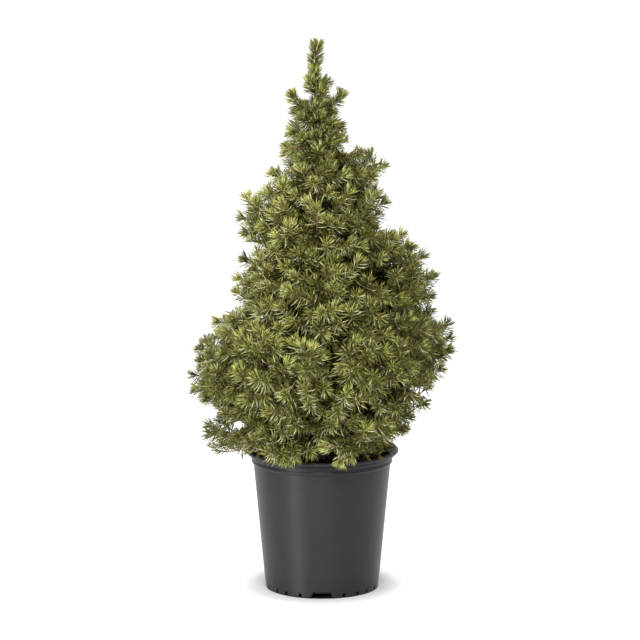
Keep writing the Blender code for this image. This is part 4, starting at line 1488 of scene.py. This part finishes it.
    def grow_shoots(self) -> None:
        """Shoots leave the twigs and the stems' ends as twigs leave the stems, after those with a place."""
        stems = self.skeleton.limbs
        parents = Branches.joined([stems, self.twigs])
        brushes = Branches.joined([
            self.reach_spots(parents, self.brush_spots(), Kind.BRUSH),
            self.reach_spots(parents, np.array(PLACED_SPRAYS), Kind.HANGING),
        ])
        shoots = Branches.joined([brushes, self.golden_shoots(parents, brushes.tip)])
        for seed in (2, 7):
            every = Branches.joined([parents, shoots])
            fill = self.reach_spots(every, self.bare_spots(every.tip, seed), Kind.FILL)
            LOG.info("fill: %d shoots", len(fill))
            shoots = Branches.joined([shoots, fill])
        inner = self.grow_inner(Branches.joined([parents, shoots]))
        self.shoots = Branches.joined([shoots, self.hanging_sprays(), inner])

    def golden_shoots(self, parents: Branches, taken: Array) -> Branches:
        """Shoots that leave their parents by the golden angle, kept where no tip is near.

        Args:
            parents: the stems and twigs.
            taken: the tips that are there already.

        Returns:
            The new shoots.
        """
        dice = np.random.default_rng(SEED + 1)
        bottom = np.maximum(self.skeleton.joint, 0.35)
        first = np.concatenate([bottom, np.full(len(self.twigs), 0.16)])
        length = parents.lengths()
        count = np.maximum(((1 - first) * length / 0.0021).astype(int), 3)
        count = np.where((parents.order == Kind.CREST.value) | (parents.order == Kind.LEADER.value), 0, count)
        count[len(bottom) - 1] = 0
        number, within = numbered(count)
        share = (within + 0.5) / count[number]
        t = first[number] + (0.985 - first[number]) * share
        root, along = parents.at(number, t), parents.ahead(number, t)
        side = around(along, within * GOLDEN_ANGLE + number * 1.7)
        spread = dice.uniform(-1, 1, len(t)) * math.radians(self.shoot_lean_spread)
        lean = np.radians(self.shoot_lean - 14 * share) + spread
        high = np.clip((root[:, 2] - 0.2) / 0.35, 0, 1)
        away = unit(leaning(along, side, lean) + UP * (0.10 + 0.30 * high)[:, None])
        longest = (0.036 - 0.018 * share) * dice.uniform(0.75, 1.1, len(t))
        bend = self.light_bend(root, longest, dice)
        inset = self.tuft + 0.006 * dice.uniform(0, 1, len(t)) ** 2
        held = self.march(root, away, bend, longest, inset)
        size = held * dice.uniform(0.9, 1.0, len(t))
        tip = bent_end(root, away, bend, size, longest)
        good = (size > self.shortest_shoot) & ((away * self.outward(root)).sum(1) > -0.35)
        order = np.argsort(self.surface.room(tip) / 0.03 + 0.8 * dice.uniform(0, 1, len(t)))
        order = order[good[order]]
        pick = order[spaced(tip[order], self.shoot_spacing, np.concatenate([parents.tip, taken]))]
        turn = root[pick] + away[pick] * size[pick, None] / 2
        return Branches.laid(root[pick], turn, tip[pick], 0.00062, 0.00045, 0.07, Kind.SHOOT)

    def hanging_sprays(self) -> Branches:
        """The few shoots that hang over the pot's front rim."""
        points = np.array((
            ((-0.030, -0.052, 0.170), (-0.037, -0.084, 0.184), (-0.0400, -0.0945, 0.1600)),
            ((-0.037, -0.070, 0.176), (-0.046, -0.086, 0.180), (-0.0520, -0.0860, 0.1630)),
            ((-0.030, -0.060, 0.174), (-0.030, -0.088, 0.184), (-0.0290, -0.0980, 0.1640)),
            ((0.034, -0.050, 0.172), (0.028, -0.086, 0.186), (0.0190, -0.0950, 0.1590)),
            ((0.034, -0.056, 0.174), (0.034, -0.086, 0.184), (0.0310, -0.0950, 0.1640)),
        ))
        return Branches.laid(points[:, 0], points[:, 1], points[:, 2], 0.0009, 0.0005, 0.25, Kind.HANGING)

    def brush_spots(self) -> Array:
        """Where the tips seen in the photograph stand: on each line of sight, where it meets the crown."""
        spots = np.array(BRUSH_TIPS, float)
        along = np.repeat(np.linspace(-0.185, 0.030, 130)[None], len(spots), 0)
        lines = self.surface.studio.sight(spots, along)
        room = self.surface.room(lines.reshape(-1, 3)).reshape(along.shape)
        within = room >= 0.0070
        place = np.where(within.any(1), within.argmax(1), room.argmax(1))
        found = lines[np.arange(len(spots)), place]
        return found[~self.space.in_pot(found, 0.004)]

    def bare_spots(self, tips: Array, seed: int) -> Array:
        """Spots strewn over the crown's surface, a little inside it, that have no tip near them."""
        dice = np.random.default_rng(SEED + seed)
        count = 26000
        height = dice.uniform(SOIL_TOP + 0.008, TREE_TOP - 0.045, count)
        azimuth = dice.uniform(-math.pi, math.pi, count)
        reach = self.surface.reach(height, azimuth)
        keep = dice.uniform(0, 0.16, count) < reach
        height, azimuth, reach = height[keep], azimuth[keep], reach[keep]
        radius = reach - self.tuft - 0.006 * dice.uniform(0, 1, len(reach)) ** 2
        spots = np.stack([radius * np.cos(azimuth), radius * np.sin(azimuth), height], -1)
        spots = spots[(radius > 0.004) & self.space.free(spots, radius * 0 + 0.004)]
        spots = spots[spaced(spots, self.fill_spacing, np.zeros((0, 3)))]
        away = np.array([math.sqrt(((tips - spot) ** 2).sum(1).min()) for spot in spots])
        order = np.argsort(-away)
        order = order[away[order] > self.fill_gap * 0.75]
        return spots[order[spaced(spots[order], self.fill_gap, tips)]]

    def reach_spots(self, parents: Branches, spots: Array, kind: Kind) -> Branches:
        """A shoot to each spot from the branch point that lies best behind it.

        It leaves its parent and ends along a mean of the way out, the way up and the straight way.

        Args:
            parents: all branches that a shoot may leave.
            spots: the tips wanted, (n, 3).
            kind: what the shoots are.

        Returns:
            The new shoots.
        """
        shares = np.linspace(0.25, 0.92, 8)
        number = np.repeat(np.arange(len(parents)), len(shares))
        nodes = parents.at(number, np.tile(shares, len(parents)))
        lead = parents.ahead(number, np.tile(shares, len(parents)))
        found, length = [], []
        for spot in spots:
            gap = spot - nodes
            far = np.linalg.norm(gap, axis=1)
            facing = (gap * lead).sum(1) / np.maximum(far, 1e-6)
            inward = (gap * self.outward(spot[None])).sum(1) / np.maximum(far, 1e-6)
            cost = far * (2.6 - facing - inward) + 0.03 * (far < 0.015)
            cost = cost + 0.05 * (spot[2] < nodes[:, 2] - 0.006)
            best = int(cost.argmin())
            found.append(best)
            length.append(far[best])
        found, length = np.array(found), np.array(length)
        good = (length > 0.008) & (length < 0.075)
        spots, found, length = spots[good], found[good], length[good]
        root = nodes[found]
        high = np.clip((spots[:, 2] - 0.20) / 0.30, 0, 1)
        aim = unit(spots - root) * 0.9 + self.outward(spots) * 0.35 + UP * (0.24 + 0.66 * high)[:, None]
        turn = spots - unit(aim) * (0.45 * length)[:, None]
        clear = ~self.space.open_sky((root + spots) / 4 + turn / 2)
        root, turn, spots, length = root[clear], turn[clear], spots[clear], length[clear]
        thick = np.clip(0.0005 + 0.008 * length, 0.0006, 0.0010)
        return Branches.laid(root, turn, spots, thick, 0.00048, np.clip(1 - 0.030 / length, 0.07, 1), kind)

    def grow_inner(self, parents: Branches) -> Branches:
        """Short old twiglets deep in the crown, by the golden angle, which close the view through it."""
        dice = np.random.default_rng(SEED + 9)
        length = parents.lengths()
        count = (length / 0.0065).astype(int)
        number, within = numbered(count)
        t = (within + dice.uniform(0, 1, len(number))) / count[number] * 0.75
        root, along = parents.at(number, t), parents.ahead(number, t)
        deep = (self.surface.room(root) > 0.024) & (root[:, 2] < 0.50)
        number, within, root, along = number[deep], within[deep], root[deep], along[deep]
        side = around(along, within * GOLDEN_ANGLE + number * 2.9)
        away = unit(0.6 * along + side + UP * 0.15)
        size = dice.uniform(0.011, 0.022, len(root))
        tip = root + away * size[:, None]
        free = self.space.free(tip, np.full(len(tip), 0.018))
        pick = np.flatnonzero(free)
        pick = pick[spaced(tip[pick], self.inner_spacing, np.zeros((0, 3)))]
        LOG.info("inner: %d twiglets", len(pick))
        turn = root[pick] + away[pick] * size[pick, None] / 2 - UP * 0.001
        return Branches.laid(root[pick], turn, tip[pick], 0.00065, 0.00045, 0.2, Kind.INNER)

    def build_wood(self) -> list[bpy.types.Object]:
        """Twigs and shoots as thin tubes, each age in one piece."""
        made = []
        inner = self.shoots.order == Kind.INNER.value
        sets = (
            ("twigs", self.twigs, 5, 7, WoodTint.OLD),
            ("shoots", self.shoots.picked(~inner), 3, 5, WoodTint.YOUNG),
            ("inner_twiglets", self.shoots.picked(inner), 3, 3, WoodTint.OLD),
        )
        for name, group, sides, rings, tint in sets:
            count = len(group)
            t = np.repeat(np.linspace(0, 1, rings)[None], count, 0)
            centres = group.at(np.repeat(np.arange(count)[:, None], rings, 1), t)
            radii = group.thick[:, None] + (group.thin - group.thick)[:, None] * t
            points, faces = tubes(centres, radii, sides)
            piece = lay_mesh(name, points, faces, [tint.value.make()])
            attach(piece, "root")
            made.append(piece)
        return made

    def build_needles(self) -> list[bpy.types.Object]:
        """Needles round every shoot and round the ends of twigs and stems, dealt out by tint.

        Each branch has a body of needles that lean out more the farther they stand from its tip, and a
        flat-topped brush at the tip. The n-th needle is turned by n golden angles.
        """
        dice = np.random.default_rng(SEED + 3)
        stems = self.skeleton.limbs
        stems.order[-1] = Kind.LEADER.value
        stems.bare[-1] = 0.58
        group = Branches.joined([stems, self.twigs, self.shoots])
        size = group.lengths()
        table = np.array([DRESSES[kind] for kind in Kind])[group.order]
        dress = Dress(*table.T)
        on_bare = size * group.bare * self.inner_per_metre
        body = (size * (1 - group.bare) * dress.per_metre + on_bare).astype(int)
        tuft = dress.tuft.astype(int)
        (on_body, body_place), (on_tuft, tuft_place) = numbered(body), numbered(tuft)
        number = np.concatenate([on_body, on_tuft])
        within = np.concatenate([body_place, tuft_place])
        in_tuft = np.arange(len(number)) >= len(on_body)
        own = Dress(*table[number].T)
        luck = dice.uniform(0, 1, len(number))
        share = (within + luck) / np.where(in_tuft, tuft[number], np.maximum(body[number], 1))
        inner = (on_bare / np.maximum(body, 1))[number]
        bare = group.bare[number]
        on_wood = bare * share / np.maximum(inner, 1e-6)
        t = np.where(share < inner, on_wood, bare + (1 - bare) * (share - inner) / (1 - inner + 1e-6))
        back = np.where(in_tuft, own.tuft_depth * (1 - share) ** 0.8, (1 - t) * size[number] + 0.003)
        t = np.clip(np.where(in_tuft, 1 - back / size[number], t * (1 - 0.003 / size[number])), 0.03, 1)
        base, along = group.at(number, t), group.ahead(number, t)
        spin = within * GOLDEN_ANGLE + number * 2.3 + dice.normal(0, 0.20, len(number))
        lowness = -np.sin(spin)
        side = around(along, spin)
        high = np.clip((base[:, 2] - 0.25) / 0.30, 0, 1)
        wide = own.lean_near + (own.lean_far - own.lean_near) * smooth_step(back, 0.003, 0.020)
        wide += 6 * lowness - 6 * high + dice.normal(0, 7, len(number))
        near = 5 + own.open * np.sqrt((within * GOLDEN_SHARE) % 1.0) + dice.normal(0, 3, len(number))
        lean = np.radians(np.clip(np.where(in_tuft, near, wide), 3, 88))
        droop = np.where(in_tuft | (own.per_metre > 2000), 0.0, 0.14 * (1 - high))
        away = unit(leaning(along, side, lean) - UP * droop[:, None])
        base = base + side * np.where(in_tuft, 0.0011, 0.0003)[:, None]
        to_plane = np.clip((own.plane + back) / np.cos(lean), 0.006, 0.0145)
        flat_topped = to_plane * dice.uniform(0.94, 1.04, len(number))
        wide_length = (own.length + 0.0010 * lowness) * dice.uniform(0.82, 1.10, len(number))
        vigour = np.where(dress.per_metre > 2000, 1.0, dice.uniform(0.84, 1.10, len(group)))
        length = np.where(in_tuft, flat_topped, wide_length * vigour[number])
        tip = base + away * length[:, None]
        halfway = base + away * (length * 0.5)[:, None]
        poor = self.space.in_pot(tip, self.pot_margin) | self.space.in_pot(halfway, self.pot_margin)
        hanging = group.order[number] == Kind.HANGING.value
        ragged = dice.uniform(0.55, 1.20, len(number))
        middle = base + away * (length * 0.6)[:, None]
        poor |= (self.space.open_sky(tip, ragged) | self.space.open_sky(middle, ragged)) & ~hanging
        own_places = [Kind.CREST.value, Kind.BRUSH.value, Kind.HANGING.value, Kind.LEADER.value]
        placed = np.isin(group.order, own_places)[number]
        poor |= (self.surface.room(tip) < -self.stray) & ~placed | (np.abs(tip[:, 0]) > self.widest)
        tint = self.deal(group, number, t, in_tuft, lowness, dice)
        keep = ~poor
        return self.lay_needles(base[keep], away[keep], along[keep], length[keep], tint[keep], dice)

    def deal(self, group: Branches, number: Array, t: Array, in_tuft: Array, lowness: Array,
             dice: np.random.Generator) -> Array:
        """Deals a tint to each spray, by its depth in the crown and its place, and by a needle's place on it.

        Args:
            group: the branches.
            number: which branch each needle stands on.
            t: how far along it.
            in_tuft: whether it is one of the tuft.
            lowness: 1 on the branch's underside and -1 on its upper side.
            dice: the source of its chances.

        Returns:
            The number of each needle's tint.
        """
        room = self.surface.room(group.tip)
        luck = dice.uniform(0, 1, len(group))
        lower = np.clip((0.40 - group.tip[:, 2]) / 0.2, 0, 1)
        lime, olive, green, pale, deep, shade, straw = range(len(NeedleTint))
        # Painted shade: sprays get darker tints to the right, round the spire, low at the left and over the
        # pot's rim.
        across, height = group.tip[:, 0] / 0.13, group.tip[:, 2]
        painted_shade = 0.62 * np.clip(across, 0, 1) + 0.46 * np.clip((height - 0.47) / 0.06, 0, 1)
        painted_shade += np.clip((0.33 - height) / 0.10, 0, 1) * np.clip(-across - 0.2, 0, 1) * 0.85
        painted_shade = np.clip(painted_shade + 0.24 * np.clip((0.195 - height) / 0.03, 0, 1), 0, 0.62)
        # More painted shade at the hollows and the shaded spots.
        picture = self.space.studio.pixels(group.tip)
        for column, row, size in (*self.surface.hollows, *self.dim_spots):
            far = np.hypot(picture[:, 0] - column, picture[:, 1] - row)
            painted_shade = np.maximum(painted_shade, 0.75 * smooth_step(1 - far / (1.3 * size), 0.0, 0.6))
        # Painted shade at the SHADY clumps, and painted light, lighter tints, at the SUNNY ones.
        for spots, share in ((SHADY, 0.55), (SUNNY, -0.40)):
            far = np.linalg.norm(picture[:, None] - np.array(spots, float)[None], axis=2).min(1)
            painted_shade += (share - painted_shade * (share > 0)) * smooth_step(1 - far / 15.0, 0.0, 0.6)
        # Sprays deep in the crown get darker tints, partly the older needles' own colour and partly painted
        # shade.
        spray = np.where(luck < 0.68 - 0.18 * lower - painted_shade, olive, green)
        spray[((room > 0.026) & (luck < 0.75)) | (painted_shade > 0.5)] = green
        spray[(painted_shade > 0.65) & (luck < 0.6)] = deep
        spray[room > 0.036] = deep
        spray[(room > 0.050) | (group.order == Kind.INNER.value)] = shade
        tint = spray[number]
        each = dice.uniform(0, 1, len(number))
        outer = (room < 0.03)[number]
        brush = np.isin(group.order, [Kind.BRUSH.value, Kind.CREST.value, Kind.LEADER.value])
        bright = (np.where(brush, 0.50, 0.26) * (1 - 1.3 * painted_shade))[number]
        # Needles far back on a spray get darker tints, partly the older needles' own colour and partly
        # painted shade.
        depth = (1 - t) * group.lengths()[number] + np.maximum(room[number] - self.tuft, 0)
        tint = np.where((tint == olive) & (depth > 0.009 + 0.008 * each), green, tint)
        # Tufts get lighter tints, the fresh growth's own colour, with fewer of them where the painted shade
        # is.
        lit = in_tuft & (each < 0.6 * (1 - 1.4 * np.maximum(painted_shade, 0)[number]))
        tint = np.where(lit & (tint == green), olive, tint)
        tint = np.where(in_tuft & outer & (each < bright), lime, tint)
        # Pale needles: the pale undersides' own colour and also painted highlights on the outer needles, with
        # fewer of them in the painted shade.
        chance = (0.10 + 0.12 * lower[number] + 0.24 * (lowness > 0.1)) * (1 - 1.3 * painted_shade[number])
        tint = np.where((1 - each < chance) & outer & ~in_tuft, pale, tint)
        # Some needles are dark at random, and more of them are dark in the painted shade.
        dark = 0.08 + 0.30 * painted_shade[number]
        tint = np.where((each > 0.5) & (each < 0.5 + dark), deep, tint)
        tint = np.where((depth > 0.020 + 0.012 * each) & ~in_tuft, deep, tint)
        tint = np.where((depth > 0.034 + 0.012 * each) & ~in_tuft, shade, tint)
        return np.where(each > 0.988, straw, tint)

    def three_round(self, centre: Array, along: Array, away: Array, radius: Array,
                    turn: Array) -> list[Array]:
        """Three points round each centre, square to its needle."""
        first = unit(np.cross(along, away) + 1e-9)
        second = np.cross(away, first)
        angles = [turn + 2 * math.pi * k / 3 for k in range(3)]
        return [
            centre + radius[:, None] * (np.cos(angle)[:, None] * first + np.sin(angle)[:, None] * second)
            for angle in angles
        ]

    def rods(self, base: Array, away: Array, along: Array, length: Array, radius: Array,
             turn: Array) -> Array:
        """Points of three-sided needles: three round the base, three round the middle, and the tip.

        The middle three stand off backwards by the bow, so that the needle bends a little forwards.
        """
        forward = unit(along - (along * away).sum(1)[:, None] * away)
        middle = base + away * (self.rod_middle * length)[:, None]
        middle = middle - forward * (self.rod_bow * length)[:, None]
        low = self.three_round(base, along, away, self.rod_root * radius, turn)
        high = self.three_round(middle, along, away, radius, turn)
        return np.stack([*low, *high, base + away * length[:, None]], 1)

    def spindles(self, base: Array, away: Array, along: Array, length: Array, radius: Array,
                 turn: Array) -> Array:
        """Points of the plainer needles in the shade: the base, three round the middle, and the tip."""
        middle = base + away * (self.spindle_middle * length)[:, None]
        ring = self.three_round(middle, along, away, radius, turn)
        return np.stack([base, *ring, base + away * length[:, None]], 1)

    def lay_needles(self, base: Array, away: Array, along: Array, length: Array, tint: Array,
                    dice: np.random.Generator) -> list[bpy.types.Object]:
        """Meshes of the needles, each tint in pieces of under 200,000 triangles.

        Args:
            base: where each needle stands on its shoot.
            away: its direction.
            along: the shoot's direction there.
            length: its length.
            tint: the number of its tint.
            dice: the source of its chances.

        Returns:
            The pieces.
        """
        thick = dice.uniform(0.85, 1.15, len(base))
        turn = dice.uniform(0, 2 * math.pi, len(base))
        rod = np.array([
            (2, 1, 0), (0, 1, 4), (0, 4, 3), (1, 2, 5), (1, 5, 4), (2, 0, 3), (2, 3, 5),
            (3, 4, 6), (4, 5, 6), (5, 3, 6),
        ])
        spindle = np.array([(0, 2, 1), (0, 3, 2), (0, 1, 3), (1, 2, 4), (2, 3, 4), (3, 1, 4)])
        made = []
        for k, kind in enumerate(NeedleTint):
            chosen = np.flatnonzero(tint == k)
            shaded = kind in (NeedleTint.DEEP, NeedleTint.SHADE)
            shape, pattern = (self.spindles, spindle) if shaded else (self.rods, rod)
            radius = self.spindle_radius if shaded else self.rod_radius
            finish = kind.value.make()
            corners = int(pattern.max()) + 1
            LOG.info("%s: %d needles", kind.value.name, len(chosen))
            parts = math.ceil(len(chosen) * len(pattern) / self.piece_limit)
            for n, part in enumerate(np.array_split(chosen, parts)):
                stand = (base[part], away[part], along[part], length[part])
                points = shape(*stand, radius * thick[part], turn[part])
                faces = (pattern[None] + corners * np.arange(len(part))[:, None, None]).reshape(-1, 3)
                piece = lay_mesh(f"{kind.value.name}_{n + 1}", points.reshape(-1, 3), [faces], [finish])
                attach(piece, "root")
                made.append(piece)
        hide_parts(*(f"foliage_{name}" for name in self.skeleton.names))
        return made

    def build_buds(self) -> bpy.types.Object:
        """A small pointed bud on each tip: two four-sided cones base to base."""
        group = Branches.joined([self.skeleton.limbs, self.twigs, self.shoots])
        group = group.picked(group.order != Kind.INNER.value)
        count = len(group)
        tip = group.tip
        ahead = group.ahead(np.arange(count), np.ones(count))
        level, upper = crosswise(ahead)
        ring = [
            tip + ahead * self.bud_waist + self.bud_radius * (math.cos(a) * level + math.sin(a) * upper)
            for a in (0, math.pi / 2, math.pi, 3 * math.pi / 2)
        ]
        points = np.stack([tip - ahead * self.bud_back, *ring, tip + ahead * self.bud_point], 1)
        pattern = np.array([
            (2, 1, 0), (3, 2, 0), (4, 3, 0), (1, 4, 0), (1, 2, 5), (2, 3, 5), (3, 4, 5), (4, 1, 5),
        ])
        faces = (pattern[None] + 6 * np.arange(count)[:, None, None]).reshape(-1, 3)
        buds = lay_mesh("buds", points.reshape(-1, 3), [faces], [WoodTint.BUD.value.make()])
        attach(buds, "root")
        return buds


@dataclass
class Timber:
    """The trunk and the boughs, with the relief of young bark."""

    skeleton: Skeleton
    trunk_rings: int = 260
    trunk_sides: int = 22
    bough_rings: int = 40
    bough_sides: int = 9

    def relief(self, surface: Array, depth: float, seed: int) -> Array:
        """What a radius is multiplied by: 1 + depth times waves drawn out along the limb."""
        plates = waves(surface * np.array((1.0, 1.0, 0.5)), 0.0042, 14, seed)
        knobs = waves(surface, 0.0019, 14, seed + 1)
        return 1 + depth * (0.65 * np.abs(plates) - 0.3 + 0.35 * knobs)

    def plain(self, centres: Array, radii: Array, sides: int) -> Array:
        """Points round each centre, level and without relief, at which the relief is read."""
        turn = 2 * math.pi * np.arange(sides) / sides
        spokes = np.stack([np.cos(turn), np.sin(turn), turn * 0], -1)
        return centres[:, :, None] + radii[..., None, None] * spokes

    def build(self) -> list[bpy.types.Object]:
        """The trunk as one tube up its axis, and every limb as a tube from the trunk to its tip."""
        finish = Bark().make()
        heights = np.linspace(TRUNK_FOOT, TRUNK_TOP, self.trunk_rings)
        centres = trunk_axis(heights)[None]
        radii = trunk_radius(heights)[None]
        rough = self.plain(centres, radii, self.trunk_sides)
        points, faces = tubes(centres, radii * 0.985, self.trunk_sides, self.relief(rough, 0.14, 11))
        points[:, 2] = np.maximum(points[:, 2], TRUNK_FOOT)
        trunk = lay_mesh("trunk_bark", points, faces, [finish])
        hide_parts("trunk")
        limbs = self.skeleton.limbs
        count = len(limbs)
        shares = np.linspace(0, 1, self.bough_rings)[None]
        t = self.skeleton.first[:, None] * 0.6 * (1 - shares) + shares
        number = np.repeat(np.arange(count)[:, None], self.bough_rings, 1)
        centres = limbs.at(number, t)
        joint = self.skeleton.joint[:, None]
        bare = BOUGH_RADIUS + (JOINT_RADIUS - BOUGH_RADIUS) * t / JOINT
        bough = np.where(t < joint, bare, 0.0020 - 0.0010 * (t - joint) / (1 - joint))
        radii = np.where(self.skeleton.bough[:, None], bough, STEM_RADIUS - 0.0008 * t)
        rough = self.plain(centres, radii, self.bough_sides)
        points, faces = tubes(centres, radii, self.bough_sides, self.relief(rough, 0.16, 21))
        boughs = lay_mesh("bough_bark", points, faces, [finish])
        names = [name for name, bare in zip(self.skeleton.names, self.skeleton.bough) if bare]
        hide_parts(*(f"bough_{name}" for name in names))
        for piece in (trunk, boughs):
            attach(piece, "root")
        return [trunk, boughs]


def triangle_count(piece: bpy.types.Object) -> int:
    """How many triangles a mesh piece has."""
    sizes = np.zeros(len(piece.data.polygons), np.int32)
    piece.data.polygons.foreach_get("loop_total", sizes)
    return int((sizes - 2).sum())


def main() -> None:
    """Builds the sub-assemblies in order and reports each piece."""
    logging.basicConfig(level=logging.INFO, format="%(message)s")
    studio = Studio()
    studio.place_camera()
    studio.light_up()
    studio.lay_floor()
    pieces = [NurseryPot().build(), *Filling().build()]
    outline = Outline()
    skeleton = Skeleton(outline)
    skeleton.grow()
    pieces += Timber(skeleton).build()
    surface = Surface(outline, studio)
    surface.prepare()
    space = Space(surface, skeleton, studio)
    space.prepare()
    crown = Crown(surface, skeleton, space)
    crown.grow_twigs()
    LOG.info("twigs: %d", len(crown.twigs))
    crown.grow_shoots()
    LOG.info("shoots: %d", len(crown.shoots))
    pieces += crown.build_wood()
    pieces += crown.build_needles()
    pieces.append(crown.build_buds())
    total = 0
    for piece in pieces:
        count = triangle_count(piece)
        total += count
        LOG.info("%s: %d triangles", piece.name, count)
    LOG.info("all: %d triangles", total)


if __name__ == "__main__":
    main()
